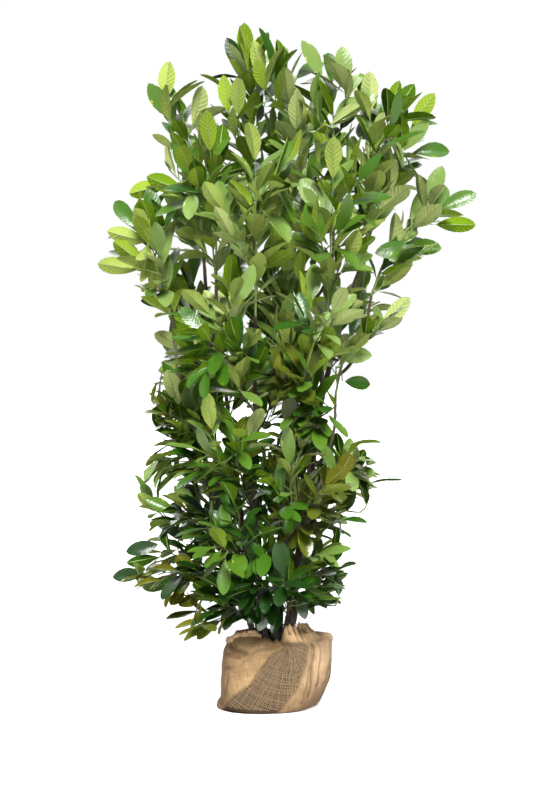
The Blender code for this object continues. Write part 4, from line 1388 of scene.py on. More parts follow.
def grown_by(made, tree, values):
    """Runs a node tree on an object and keeps the result as its plain mesh."""
    modifier = made.modifiers.new(tree.name, "NODES")
    modifier.node_group = tree
    for item in tree.interface.items_tree:
        if item.item_type == "SOCKET" and item.in_out == "INPUT" and item.name in values:
            modifier[item.identifier] = values[item.name]
    bpy.context.view_layer.update()
    graph = bpy.context.evaluated_depsgraph_get()
    mesh = bpy.data.meshes.new_from_object(made.evaluated_get(graph))
    made.modifiers.clear()
    made.data = mesh
    return made


def seat(made, nodes=()):
    """Makes a finished piece ride on the plant, in place of some solids."""
    if not len(made.data.polygons):
        raise RuntimeError(f"{made.name} has no faces")
    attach(made, "root")
    if nodes:
        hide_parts(*nodes)
    return made


def add_strands(name, strands, sides, finish):
    """One mesh of round strands, from paths and their radii."""
    points, edges, radii = [], [], []
    for path, thickness in strands:
        edges += [(len(points) + i, len(points) + i + 1) for i in range(len(path) - 1)]
        points += path
        radii += thickness
    made = add_mesh(name, points, [], edges=edges)
    add_attribute(made, "radius", "FLOAT", radii)
    return grown_by(made, tube_nodes(), {"Sides": sides, "Material": finish})


# ---- stems and boughs

SCAR_HEIGHT = 0.0045
SCAR_REACH = 0.02  # beyond which a scar no longer swells the bark


def barked_limb(name, limb, sizes, sides):
    """Rings of points round a limb, with ridges, leaf scars and a knobbly foot."""
    rng = random.Random(name)
    reach = path_length(limb.path)
    shares = between(0, 1, max(8, round(reach / sizes.ring_step)))
    path = [spline(limb.path, t) for t in shares]
    spans = len(limb.radii) - 1
    radii = []
    for t in shares:
        at = min(int(t * spans), spans - 1)
        radii.append(limb.radii[at] + (limb.radii[at + 1] - limb.radii[at]) * (t * spans - at))
    rings = ring_points(path, radii, sides, up(1) if name in STEMS else None)
    scars = []
    for k in range(int(reach / sizes.scar_spacing)):
        height = (k + rng.uniform(-0.25, 0.25)) * sizes.scar_spacing
        scars.append((height, k * GOLDEN_ANGLE + rng.uniform(-0.4, 0.4)))
    drift = stray(rng, (0, 50), (0, 50), (0, 50))
    for t, ring, centre in zip(shares, rings, path):
        along = t * reach
        near = [scar for scar in scars if abs(scar[0] - along) < SCAR_REACH]
        for k, turn in enumerate(turns(sides)):
            way = level_way(turn)
            ridge = noise(way * 2.6 + up(along * 22) + drift)
            fine = noise(way * 6.5 + up(along * 75) - drift)
            swell = sizes.ridge * (ridge + 0.55 * fine)
            for height, angle in near:
                off, rise = angle_off(turn, angle), (along - height) / SCAR_HEIGHT
                swell += 0.26 * exp(-(rise**2) - (off / 0.75) ** 2)
                swell -= 0.10 * exp(-((rise - 1.7) ** 2) - (off / 0.6) ** 2)
            ring[k] = centre + (ring[k] - centre) * (1 + swell)
    return rings


def limb_mesh(name, limbs, sizes, sides, finish):
    """All the given limbs in one mesh, each a closed skin."""
    tubes = [barked_limb(limb, grown_limbs()[limb], sizes, sides) for limb in limbs]
    made = add_mesh(name, *joined_skins(tubes, sides), [finish])
    made.data.shade_smooth()
    return made


class LAUREL_OT_limbs(bpy.types.Operator):
    """Build the stems and boughs with their bark"""

    bl_idname = "laurel.limbs"
    bl_label = "Stems and boughs"

    def execute(self, context):
        sizes = context.scene.laurel_bark
        finish = bark_material("stem_bark", sizes, young=False)
        seat(limb_mesh("stems_bark", STEMS, sizes, sizes.sides, finish), STEMS)
        finish = bark_material("bough_bark", sizes, young=True)
        seat(limb_mesh("boughs_bark", BOUGHS, sizes, sizes.sides - 6, finish), BOUGHS)
        return {"FINISHED"}


# ---- twigs and leaves


class LAUREL_OT_twigs(bpy.types.Operator):
    """Grow the twigs of every mass, brown low down and green in the crown"""

    bl_idname = "laurel.twigs"
    bl_label = "Twigs"

    def execute(self, context):
        sizes = context.scene.laurel_foliage
        grown_leaves()
        twigs, _ = grown_twigs()
        for twig in sorted(twigs, key=lambda twig: -twig.order):
            if twig.leafy and twig.bearer:
                twig.bearer.leafy = max(twig.bearer.leafy, twig.at)
        strands = {"brown": [], "green": []}
        for twig in (twig for twig in twigs if twig.leafy):
            old = twig.order < 2 and twig.path[0].z < 1.25 and twig.tint not in ("bright", "young")
            thickness = between(twig.foot_radius, sizes.twig_tip_radius, len(twig.path))
            last = min(len(twig.path), max(2, ceil(twig.leafy * (len(twig.path) - 1)) + 1))
            strands["brown" if old else "green"].append((twig.path[:last], thickness[:last]))
        for tone, paths in strands.items():
            finish = plain_material("twig_" + tone, getattr(sizes, "twig_" + tone), 0.6)
            seat(add_strands("twigs_" + tone, paths, FINE_SIDES, finish))
        return {"FINISHED"}


UPPER, UNDER, RIB = 0, 1, 2  # the parts of a leaf, in the order of their materials
BLADE_SHARES = (0.0, 0.09, 0.25, 0.45, 0.64, 0.81, 0.93)
UPPER_COLUMNS = (-1.0, -0.52, 0.0, 0.52, 1.0)
BLADE_THICKNESS = 0.0006
BLADE_FINISHES = {"Upper": (0.33, 0.14, 0.45), "Under": (0.60, -0.65, 0.06)}  # roughness, veins and gloss


def leaf_template(number, sizes):
    """One leaf along +Y from its stalk's foot at the origin, with its upper side to +Z."""
    rng = random.Random(f"leaf {number}")
    fold, recurve = rng.uniform(0.18, 0.55), rng.uniform(0.04, 0.16)
    curl, sway = rng.uniform(-0.03, 0.20), rng.uniform(-0.06, 0.06)
    wave, phase = rng.uniform(0.0005, 0.0026), rng.uniform(0, 2 * pi)
    foot, close = rng.uniform(0.82, 1.05), rng.uniform(0.60, 0.82)  # how fast it widens and closes
    widest = foot / (foot + close)
    most = widest**foot * (1 - widest) ** close
    reach, half = sizes.leaf_length, sizes.leaf_width / 2

    def centre(t):
        along = sizes.stalk_length + reach * (t - 0.12 * curl * t * t)
        return Vector((sway * reach * t * t, along, -curl * reach * t * t))

    def surface(t, c):
        wide = max(half * t**foot * (1 - t) ** close / most, 0.0013)
        lift = fold * abs(c) * wide - recurve * c**4 * wide
        ripple = wave * abs(c) * sin(7.5 * t + phase + (1.1 if c > 0 else 0.0))
        return centre(t) + Vector((c * wide, 0, lift + ripple))

    points, uvs, faces = [], [], []
    for t in BLADE_SHARES:
        rib = 0.0019 * (1 - 0.8 * t)
        columns = [(c, 0.0) for c in UPPER_COLUMNS]
        columns += [(-0.07, BLADE_THICKNESS), (0.0, BLADE_THICKNESS + rib), (0.07, BLADE_THICKNESS)]
        for c, drop in columns:
            points.append(surface(t, c) - up(drop))
            uvs.append((0.5 + 0.5 * c, t))
    points.append(centre(1.0))
    uvs.append((0.5, 1.0))
    end, row = len(points) - 1, 8
    under = (0, 5, 6, 7, 4)
    for low in range(0, end, row):
        last = low + row == end
        for k in range(4):
            a, b = under[k], under[k + 1]
            ahead = (end,) if last else (low + row + k + 1, low + row + k)
            faces.append((UPPER, (low + k, low + k + 1, *ahead)))
            ahead = (end,) if last else (low + row + a, low + row + b)
            faces.append((RIB if k in (1, 2) else UNDER, (low + b, low + a, *ahead)))
    faces.append((RIB, (0, 5, 6, 7, 4, 3, 2, 1)))
    add_stalk(points, faces, uvs, sizes, centre(0.06))
    made = add_mesh(f"leaf_{number}", points, [face for _, face in faces])
    add_attribute(made, "leaf_part", "INT", [part for part, _ in faces], "FACE")
    add_uvs(made, [uvs[corner.vertex_index] for corner in made.data.loops])
    made.data.shade_smooth()
    made.data.set_sharp_from_angle(angle=radians(75))
    return made


def add_stalk(points, faces, uvs, sizes, end):
    """Adds a leaf's stalk: a four-sided rod from the twig into the foot of the blade."""
    first = len(points)
    middle = (sizes.stalk_length * 0.6, -0.0006, 0.0010)
    for y, z, radius in ((-0.001, 0.0, 0.0014), middle, (end.y, end.z - 0.0008, 0.0009)):
        for k in range(4):
            turn = pi / 2 * k + pi / 4
            points.append(Vector((cos(turn) * radius, y, z + sin(turn) * radius)))
            uvs.append((0.5, 0.0))
    for low in (first, first + 4):
        for k in range(4):
            after = (k + 1) % 4
            faces.append((RIB, (low + after, low + k, low + 4 + k, low + 4 + after)))
    faces.append((RIB, tuple(first + k for k in range(4))))
    faces.append((RIB, tuple(first + 8 + k for k in reversed(range(4)))))


class LAUREL_OT_leaves(bpy.types.Operator):
    """Set a leaf on every place that the twigs give, one piece for each tint"""

    bl_idname = "laurel.leaves"
    bl_label = "Leaves"

    def execute(self, context):
        sizes = context.scene.laurel_foliage
        kinds = bpy.data.collections.new("leaf_kinds")
        context.scene.collection.children.link(kinds)
        for number in range(LEAF_VARIANTS):
            template = leaf_template(number, sizes)
            context.scene.collection.objects.unlink(template)
            kinds.objects.link(template)
        rib = plain_material("leaf_rib", sizes.rib, 0.55)
        leaves = grown_leaves()
        for tint in TINTS:
            chosen = [leaf for leaf in leaves if leaf.tint == tint]
            finishes = {"Rib": rib}
            for side, finish in BLADE_FINISHES.items():
                name = f"{tint}_{side.lower()}"
                finishes[side] = blade_material("leaf_" + name, getattr(sizes, name), *finish)
            made = leaf_piece(f"leaves_{tint}", chosen, kinds, finishes)
            seat(made, sorted({leaf.mass for leaf in chosen}))
        for template in list(kinds.objects):
            bpy.data.objects.remove(template)
        bpy.data.collections.remove(kinds)
        return {"FINISHED"}


def leaf_piece(name, leaves, kinds, finishes):
    """One mesh of all the leaves of a tint."""
    rng = random.Random(name)
    facing, scale = [], []
    for leaf in leaves:
        side = leaf.direction.cross(leaf.face_up)
        turn = Matrix((side, leaf.direction, leaf.face_up)).transposed().to_quaternion()
        facing.append(tuple(turn))
        scale.append((leaf.size * rng.uniform(0.90, 1.12), leaf.size, leaf.size))
    made = add_mesh(name, [leaf.root for leaf in leaves], [])
    add_attribute(made, "facing", "QUATERNION", facing)
    add_attribute(made, "size", "FLOAT_VECTOR", scale)
    add_attribute(made, "variant", "INT", [leaf.variant for leaf in leaves])
    return grown_by(made, spray_nodes(), {"Leaves": kinds, **finishes})


# ---- root ball


def ball_radius(turn, rise):
    """The ball's radius on one side at a share of its height, squarish, sagging and lightly folded."""
    c, s = cos(turn), sin(turn)
    squarish = (abs(c) ** BALL_SQUARENESS + abs(s) ** BALL_SQUARENESS) ** (-1 / BALL_SQUARENESS)
    radius = squarish * hypot(BALL_HALF_WIDTH * c, BALL_HALF_DEPTH * s) * BALL_FILL
    fold = sum(depth * sin(count * turn + phase) for count, phase, depth in FOLDS)
    return radius + fold * (0.3 + 0.7 * rise) + BALL_LEAN * c * (2 * rise - 1)


def bag_column(turn):
    """Points up one side of the bag, from the edge of its underside to its hem."""
    way = level_way(turn)
    chamfer = max(0.0, cos(turn - CHAMFER_ANGLE)) ** 2
    sag = max(0.0, cos(turn - SAG_ANGLE)) ** 2
    ear = exp(-((angle_off(turn, EAR_ANGLE) / 0.34) ** 2))
    droop = exp(-((angle_off(turn, DROOP_ANGLE) / 0.60) ** 2))
    corner = (CORNER_HEIGHT + CHAMFER_HEIGHT * chamfer) * (1 - 0.45 * sag)
    foot = ball_radius(turn, 0) + 0.014 * sag + 0.004 * max(0.0, -sin(turn)) ** 4
    rows = [  # radius and height
        (foot * (UNDERSIDE_SHARE + 0.09 * sag) - CHAMFER_DEPTH * chamfer, 0),
        (foot * (0.975 + 0.03 * sag) - CHAMFER_DEPTH * 0.55 * chamfer, corner * 0.24),
        (ball_radius(turn, 0.3), corner),
        (ball_radius(turn, 0.6), SHOULDER_Z * 0.60),
        (ball_radius(turn, 0.9) * (0.985 - 0.02 * ear), SHOULDER_Z * 0.88 - 0.008 * droop),
        (ball_radius(turn, 1.0) * (0.87 + 0.09 * ear), LIP_Z + 0.007 * ear - 0.012 * droop),
    ]
    column = [way * radius + up(height) for radius, height in rows]
    return column + [hem_point(turn)]


def bunch_at(turn):
    """1 along the stretch of the hem that stands up as a frill, and 0 elsewhere."""
    off = angle_off(turn, BUNCH_ANGLE)
    return smooth_step(-0.50, -0.38, off) * (1 - smooth_step(0.20, 0.66, off))


def hem_point(turn):
    """The hem on one side."""
    way = level_way(turn).to_2d()
    roll = max(0.0, cos(turn - ROLL_ANGLE)) ** 2
    height = LIP_Z + HEM_RISE + ROLL_RISE * roll + FRILL_RISE * bunch_at(turn)
    count, depth = HEM_RIPPLES
    rim = MOUTH + way * (MOUTH_RADIUS + depth * sin(count * turn) + HEM_WIDTH * 0.5)
    return Vector((*rim, height - HEM_SLOPE * 0.5))


GATHER = (radians(-77), 0.211)  # the turn and the height that the folds fan out from
FOLD_LINES = (  # how far each fold stands out, its half width, and its course left of and below the gather
    (0.0042, 0.0045, ((0.045, 0.026), (0.089, 0.092), (0.120, 0.147))),
    (0.0075, 0.0210, ((0.070, 0.014), (0.114, 0.089), (0.143, 0.152))),
    (-0.0055, 0.0060, ((0.128, 0.034), (0.184, 0.022), (0.240, 0.026))),
    (-0.0045, 0.0050, ((0.142, 0.054), (0.190, 0.050), (0.250, 0.062))),
    (-0.0035, 0.0070, ((0.160, 0.082), (0.215, 0.098))),
    (-0.0035, 0.0100, ((0.180, 0.120), (0.200, 0.175))),
    (0.0075, 0.0052, ((-0.070, 0.003), (-0.050, 0.040), (-0.045, 0.088), (-0.036, 0.140), (-0.030, 0.175))),
    (-0.0065, 0.0045, ((-0.082, 0.008), (-0.066, 0.066), (-0.063, 0.127), (-0.055, 0.165))),
    (0.0055, 0.0050, ((-0.092, 0.010), (-0.078, 0.068), (-0.075, 0.125))),
    (-0.0065, 0.0052, ((-0.100, 0.016), (-0.089, 0.082), (-0.086, 0.135))),
    (0.0050, 0.0110, ((-0.140, 0.012), (-0.116, 0.074), (-0.105, 0.120))),
    (-0.0045, 0.0080, ((-0.165, 0.020), (-0.150, 0.100))),
    (-0.0045, 0.0055, ((-0.046, 0.007), (-0.036, 0.039), (-0.024, 0.086), (-0.009, 0.147))),
    (-0.0034, 0.0034, ((0.030, 0.051), (0.019, 0.077), (-0.021, 0.065))),
    (-0.0050, 0.0032, ((0.005, -0.013), (0.012, 0.038), (0.022, 0.060))),
    (0.0035, 0.0050, ((0.024, 0.010), (0.040, 0.050), (0.070, 0.105))),
    (-0.0040, 0.0050, ((0.036, 0.004), (0.060, 0.020), (0.100, 0.028))),
    (0.0030, 0.0050, ((0.000, 0.080), (0.022, 0.130), (0.055, 0.175))),
    (-0.0120, 0.0042, ((-0.008, 0.001), (-0.007, 0.003))),
)
FOLD_SPANS = [
    (height, width, start, (end[0] - start[0], end[1] - start[1]))
    for height, width, places in FOLD_LINES
    for start, end in zip(places, places[1:])
]
BALL_MEAN = 0.155  # radius that turns the ball's angle into a length along its side
BAND_LEFT = (  # the band of open weave: distance below the gather, and its left edge there
    (-0.01, 0.002), (0.020, 0.008), (0.034, 0.048), (0.077, 0.080), (0.124, 0.106), (0.180, 0.171),
    (0.220, 0.205),
)
BAND_RIGHT = (
    (0.000, -0.062), (0.040, -0.047), (0.064, -0.045), (0.135, -0.024), (0.156, -0.012), (0.210, 0.030)
)


def from_gather(turn, height):
    """The distance from the gather over the cloth, and the angle there from straight down, left positive."""
    aside = -angle_off(turn, GATHER[0]) * BALL_MEAN
    down = GATHER[1] - height
    return hypot(aside, down), atan2(aside, down)


def stretch_at(turn, height):
    """How far the weave is pulled open: 1 in the band that runs down and left from the gather."""
    away, angle = from_gather(turn, height)
    aside, down = away * sin(angle), away * cos(angle)
    left_edge = np.interp(down, *zip(*BAND_LEFT))
    right_edge = np.interp(down, *zip(*BAND_RIGHT))
    inside = smooth_step(right_edge - 0.007, right_edge + 0.012, aside)
    inside *= 1 - smooth_step(left_edge - 0.014, left_edge + 0.006, aside)
    return inside * smooth_step(0.002, 0.012, down)


def smooth_step(low, high, value):
    x = min(1.0, max(0.0, (value - low) / (high - low)))
    return x * x * (3 - 2 * x)


def fold_lines(aside, down):
    """How far the long folds lift the cloth at a place left of and below the gather."""
    lift = {}
    for height, width, (x, y), (run, drop) in FOLD_SPANS:
        share = ((aside - x) * run + (down - y) * drop) / (run * run + drop * drop)
        share = min(1.0, max(0.0, share))
        off = hypot(aside - x - run * share, down - y - drop * share) / width
        if off < 2.6:
            key = height, width
            lift[key] = max(lift.get(key, 0.0), exp(-(off**2)))
    return sum(height * share for (height, _), share in lift.items())


def fold_relief(turn, height, depth):
    """How far the cloth stands out at a place on the bag's side: pleats, long folds and creases."""
    away, angle = from_gather(turn, height)
    aside, down = away * sin(angle), away * cos(angle)
    way = level_way(turn)
    drift = noise(way * 2.2 + up(height * 9))
    fade = exp(-away / 0.09) * smooth_step(0.0, 0.03, away)
    pleats = 0.6 * sin(angle * 15 + drift * 3.2) * fade
    waver = 0.004 * noise(Vector((aside * 30, down * 30, 5.0)))
    folds = fold_lines(aside + waver, down + waver)
    off_roll = angle_off(turn, ROLL_ANGLE)
    under_roll = exp(-((off_roll / 0.8) ** 2)) * exp(-(((height - 0.176) / 0.020) ** 2))
    creases = sin(off_roll * 12 + height * 70 + drift * 4) * under_roll
    behind = 1 - exp(-((angle_off(turn, SAG_ANGLE) / 1.15) ** 4))
    gathered = sin(turn * 17 + 2.0 * sin(turn * 5) + drift * 2)
    gathered *= smooth_step(0.05, 0.19, height) * behind
    soft = noise(way * 4 + Vector((7, 3, 1 + height * 22)))
    fine = noise(way * 11 + up(height * 60))
    crumple = noise(way * 24 + Vector((3, 0, height * 130)))
    shape = pleats + 0.7 * creases - 0.8 * under_roll + 0.55 * gathered
    shape += 0.5 * soft + 0.26 * fine + 0.10 * crumple
    return (depth * shape + folds) * smooth_step(0.0, 0.03, height)


def wrap_point(turn, column, t, sizes):
    """A point on the folded cloth at share t up one side, and how far its folds stand out there."""
    place = spline(column, t)
    ahead = spline(column, min(1.0, t + 0.01)) - spline(column, max(0.0, t - 0.01))
    round_way = Vector((-sin(turn), cos(turn), 0))
    out = round_way.cross(ahead).normalized()
    relief = fold_relief(turn, place.z, sizes.fold_depth) - 0.0012 * stretch_at(turn, place.z)
    frill = bunch_at(turn)
    bunch = frill * smooth_step(0.80, 1.0, t)
    ruffle = 0.0050 * sin(turn * 61 + 2.4 * sin(turn * 9)) * bunch
    ruffle += 0.016 * noise(Vector((turn * 13, t * 7, 8.0))) * bunch
    pinch = frill * (0.009 * smooth_step(0.93, 1.0, t) - 0.008 * exp(-(((t - 0.87) / 0.035) ** 2)))
    jagged = noise(Vector((turn * 26, 0.3, 2.0))) + 0.6 * noise(Vector((turn * 70, 0.3, 5.0)))
    lift = up(jagged * smooth_step(0.90, 1.0, t) * (0.003 + 0.008 * bunch))
    return place + out * (relief * (1 - 0.8 * bunch) + ruffle + pinch) + lift, relief


def lathe_faces(columns, rows):
    """Faces of a closed skin of upright columns of points, and of the points at its foot and its end."""
    foot, end = columns * rows, columns * rows + 1
    faces = []
    for k in range(columns):
        low, after = k * rows, (k + 1) % columns * rows
        faces += [(foot, after, low), (end, low + rows - 1, after + rows - 1)]
        faces += [(low + i, after + i, after + i + 1, low + i + 1) for i in range(rows - 1)]
    return faces


def add_cloth(name, points, faces, finish, given, corners):
    """A piece of hessian with what its weave is told: how stretched and frayed it is and its painted shade in
    folds, and its UV map.
    """
    made = add_mesh(name, points, faces, [finish])
    for label, values in given.items():
        add_attribute(made, label, "FLOAT", values)
    add_uvs(made, corners)
    made.data.shade_smooth()
    return made


WRAP_TURNS, WRAP_ROWS = 460, 100  # points round the cloth and up its outside
HEM_SHARES = (0.985, 0.965, 0.945, 0.925, 0.905, 0.885, 0.865, 0.845, 0.825, 0.80)
LINING_SHARES = (0.74, 0.62, 0.45, 0.28, 0.12, 0.0)
LINING_INSET = 0.013  # that keeps the inner skin clear of the deepest folds


def build_wrap(sizes):
    """The cloth: an outer skin that turns back at the hem into an inner one, down to the soil."""
    rows = []  # each point, its place in the weave, how stretched and frayed the cloth is, and the painted shade of its folds
    for turn in turns(WRAP_TURNS):
        column, way, bunch = bag_column(turn), level_way(turn), bunch_at(turn)
        run, before = 0.0, None
        for t in between(0, 1, WRAP_ROWS):
            place, relief = wrap_point(turn, column, t, sizes)
            run += (place - before).length if before else 0.0
            before = place
            # painted shade where the cloth lies sunk in a fold or crease
            hollow = smooth_step(0.0005, 0.0060, -relief)
            frayed = smooth_step(0.80, 0.95, t) * (0.3 + 0.7 * bunch)
            rows.append((place, (turn * BALL_MEAN, run), stretch_at(turn, place.z), hollow, frayed))
        for t in (*HEM_SHARES, *LINING_SHARES):
            if t in HEM_SHARES:
                place, _ = wrap_point(turn, column, t, sizes)
                place -= way * WRAP_THICKNESS * min(1.3, (1 - t) * 12 + 0.35)
            else:
                place = spline(column, t) - way * LINING_INSET
                place.z = max(place.z, WRAP_THICKNESS)
            frayed = 0.5 * bunch if t in HEM_SHARES else 0.0
            # the turned-back hem and the lining take a little painted shade
            rows.append((place, (turn * BALL_MEAN, run + (1 - t) * 0.3), 0.0, 0.3, frayed))
    faces = lathe_faces(WRAP_TURNS, len(rows) // WRAP_TURNS)
    rows += [(up(height), (0, 0), 0.0, 0.0, 0.0) for height in (0, WRAP_THICKNESS)]
    points, uvs, stretch, hollow, frayed = zip(*rows)
    seam = 2 * pi * BALL_MEAN
    corners = []
    for face in faces:
        us = [uvs[i][0] for i in face]
        wraps = max(us) - min(us) > seam / 2
        corners += [(u + seam if wraps and u < seam / 2 else u, v) for u, v in (uvs[i] for i in face)]
    given = {"stretch": stretch, "hollow": hollow, "frayed": frayed}
    return add_cloth("hessian_cloth", points, faces, hessian_material(sizes), given, corners)


class LAUREL_OT_wrap(bpy.types.Operator):
    """Wrap the root ball in folded hessian"""

    bl_idname = "laurel.wrap"
    bl_label = "Hessian wrap"

    def execute(self, context):
        seat(build_wrap(context.scene.laurel_ball), ["hessian_wrap"])
        return {"FINISHED"}


def on_cloth(cloth, turn, height, lift):
    """The point just off the cloth that is nearest to a turn and a height on its side."""
    way = level_way(turn)
    place, out, _, _ = cloth.ray_cast(way * 0.3 + up(height), -way)
    return place + out * lift if place else None


BAND_WIDTH, BAND_LENGTH = 0.40, 0.31  # of the band, for counting its threads
BAND_ANGLES = radians(-86), radians(58)
FRILL_THREADS, ROLL_THREADS = 0.55, 0.30  # shares of the loose threads


def band_strand(start, end, count, sizes, rng, lift_phase, cloth):
    """One thread over the cloth between two places given by distance and angle from the gather."""
    runs, path = [], []
    drift, border = rng.uniform(0, 40), rng.uniform(0.10, 0.75)
    for i, t in enumerate(between(0, 1, count)):
        stray = noise(Vector((t * 9, drift, 0.0))) * sizes.thread_spacing * 0.8
        away = start[0] + (end[0] - start[0]) * t
        angle = start[1] + (end[1] - start[1]) * t
        away, angle = away + stray, angle + stray / max(away, 0.03)
        turn = GATHER[0] - away * sin(angle) / BALL_MEAN
        height = GATHER[1] - away * cos(angle)
        over = 0.0004 * cos(pi * (i + lift_phase))
        inside = 0.008 < height < 0.205 and stretch_at(turn, height) > border
        place = on_cloth(cloth, turn, height, sizes.thread_radius * 0.9 + over) if inside else None
        if place is None or (path and (place - path[-1]).length > 0.012):
            runs.append(path)
            path = []
        if place is not None:
            path.append(place)
    return [run for run in (*runs, path) if len(run) > 2]


def band_threads(sizes, cloth):
    """The warp and weft of the band where the weave is pulled open."""
    rng = random.Random("band")
    strands = []

    def lay(start, end, count, phase):
        runs = band_strand(start, end, count, sizes, rng, phase, cloth)
        radius = sizes.thread_radius * rng.uniform(0.55, 1.5)
        for path in runs:
            strands.append((path, [radius * 0.4, *[radius] * (len(path) - 2), radius * 0.4]))

    angles = between(*BAND_ANGLES, round(BAND_WIDTH / sizes.thread_spacing))
    steps = int(BAND_LENGTH / sizes.thread_spacing)
    rings = between(0.010, 0.290, steps)
    for k, angle in enumerate(angles):
        lay((rings[0], angle), (rings[-1], angle * 0.80 + 0.10), steps, k % 2)
    for j, away in enumerate(rings):
        count = max(6, int(away * 2.5 / sizes.thread_spacing))
        lay((away, angles[0]), (away * 1.05, angles[-1]), count, j % 2)
    return strands


ROLL_LINE = [
    Vector(place)
    for place in (
        (-0.1440, 0.046, 0.1800),
        (-0.1420, 0.020, 0.1850),
        (-0.1300, -0.018, 0.1950),
        (-0.1110, -0.048, 0.2060),
        (-0.0880, -0.070, 0.2160),
        (-0.0640, -0.084, 0.2210),
        (-0.0440, -0.090, 0.2130),
    )
]


def roll_radius(along):
    """The rolled hem's radius at a share of its length."""
    return 0.0030 + 0.0082 * sin(pi * (0.04 + along * 0.92)) ** 0.8


def frayed_threads(sizes):
    """Loose ends that stick out of the hem, most of them round the frill and along the roll."""
    rng = random.Random("frayed")
    strands = []
    for _ in range(sizes.loose_threads):
        kind = rng.random()
        if FRILL_THREADS <= kind < FRILL_THREADS + ROLL_THREADS:
            along = rng.uniform(0.02, 0.98)
            way = stray(rng, (-1, 0.4), (-1, 0.2), (-0.7, 1)).normalized()
            start = spline(ROLL_LINE, along) + way * roll_radius(along) * 0.9
            heading = (way + stray(rng, (-0.9, 0.9), (-0.6, 0.6), (-0.8, 0.4))).normalized()
            reach = rng.uniform(0.004, 0.013)
        else:
            if kind < FRILL_THREADS:
                turn = BUNCH_ANGLE + rng.uniform(-0.46, 0.62)
            else:
                turn = rng.uniform(-pi, pi)
            start, _ = wrap_point(turn, bag_column(turn), rng.uniform(0.93, 1.0), sizes)
            upward = Vector((*stray(rng, (-0.6, 0.6), (-0.6, 0.6)), 1))
            heading = (level_way(turn) * rng.uniform(-0.4, 1.0) + upward).normalized()
            reach = rng.uniform(0.006, 0.019)
        bend = stray(rng, (-1, 1), (-1, 1), (-1.3, 0.1))
        path = []
        for t in between(0, 1, 6):
            path.append(start - heading * 0.003 + heading * (reach * t) + bend * (reach * 0.5 * t * t))
        strands.append((path, between(sizes.thread_radius * rng.uniform(0.5, 1.0), 0.0002, 6)))
    return strands


def rolled_hem():
    """The edge of the cloth rolled over on the left, as one soft uneven roll."""
    count, sides = 110, 28
    shares = between(0, 1, count)
    path = [spline(ROLL_LINE, t) for t in shares]
    rings = ring_points(path, [roll_radius(t) for t in shares], sides)
    hollow = []
    for i, (t, ring, centre) in enumerate(zip(shares, rings, path)):
        for k, turn in enumerate(turns(sides)):
            way = level_way(turn)
            twist = sin(i * 0.17 + turn)
            crease = noise(way * 1.6 + up(i * 0.16))
            tuft = noise(way * 4.5 + Vector((0, 4, i * 0.55)))
            ring[k] = centre + (ring[k] - centre) * (1 + 0.06 * twist + 0.42 * crease + 0.30 * tuft)
            # painted shade where the roll's skin sinks below its round
            hollow.append(min(1.0, max(0.0, 1 - (ring[k] - centre).length / roll_radius(t)) * 2.2))
    points, faces = joined_skins([rings], sides)
    given = {"stretch": [0.0] * len(points), "hollow": hollow, "frayed": [1.0] * len(points)}
    corners = [(i // sides * 0.0016, i % sides * 0.0020) for face in faces for i in face]
    return add_cloth("rolled_hem", points, faces, bpy.data.materials["hessian_cloth"], given, corners)


class LAUREL_OT_threads(bpy.types.Operator):
    """Lay the open threads, the rolled hem and the frayed ends on the wrap"""

    bl_idname = "laurel.threads"
    bl_label = "Threads and hem"

    def execute(self, context):
        sizes = context.scene.laurel_ball
        finish = plain_material("jute_thread", sizes.thread, 0.9)
        graph = context.evaluated_depsgraph_get()
        cloth = BVHTree.FromObject(bpy.data.objects["hessian_cloth"], graph)
        seat(add_strands("open_weave_threads", band_threads(sizes, cloth), 4, finish))
        seat(add_strands("frayed_threads", frayed_threads(sizes), 3, finish))
        seat(rolled_hem())
        return {"FINISHED"}


class LAUREL_OT_soil(bpy.types.Operator):
    """Fill the wrap with soil and scatter crumbs on its top"""

    bl_idname = "laurel.soil"
    bl_label = "Soil"

    def execute(self, context):
        sizes = context.scene.laurel_ball
        finish = soil_material(sizes)
        points, faces = soil_skin()
        made = add_mesh("soil_mound", points, faces, [finish])
        made.data.shade_smooth()
        seat(made, ["root_ball_soil"])
        top = [face for face in faces if all(points[i].z > SOIL_TOP_Z - 0.012 for i in face)]
        crumbs = add_mesh("soil_crumbs", points, top)
        values = {"Density": float(sizes.crumbs), "Size": CRUMB_RADIUS, "Seed": 4, "Material": finish}
        seat(grown_by(crumbs, crumb_nodes(), values))
        return {"FINISHED"}


SOIL_RINGS = 26
SOIL_INSET = 0.0015  # between the soil and the inside of the wrap's solid
CRUMB_RADIUS = 0.0026


def soil_skin():
    """A closed skin inside the wrap, with a lumpy top."""
    inset = WRAP_THICKNESS + SOIL_INSET
    points = []
    columns = turns(96)
    for turn in columns:
        way = level_way(turn)
        edge = ball_radius(turn, 0.9) * 0.86 - inset
        for height in (inset, 0.06, 0.12, 0.165):
            radius = min(edge, ball_radius(turn, height / SHOULDER_Z) * 0.80)
            points.append(way * radius + up(height))
        for i in range(SOIL_RINGS):
            reach = edge * (1 - i / SOIL_RINGS)
            place = way * reach
            lumps = noise(place * 55) * 0.0035 + noise(place * 160) * 0.0016
            mound = 0.004 * (1 - (reach / edge) ** 2)
            points.append(place + up(SOIL_TOP_Z - 0.006 + mound + lumps))
    faces = lathe_faces(len(columns), len(points) // len(columns))
    points += [up(inset), up(SOIL_TOP_Z - 0.002)]
    return points, faces


# ---- stage

FLOOR_WIDTH = 120.0
LIGHTS = {  # where each comes from, and the angle in degrees that its panel spans
    "key": ((0.25, -2.2, 2.0), 22),
    "top": ((0.5, 0.1, 3.0), 60),
    "fill": ((-2.4, -0.9, 1.6), 50),
    "back": ((-0.6, 2.3, 1.4), 50),
}


def looking(way):
    """The rotation of a lamp or camera that looks along a way."""
    return way.to_track_quat("-Z", "Y").to_euler()


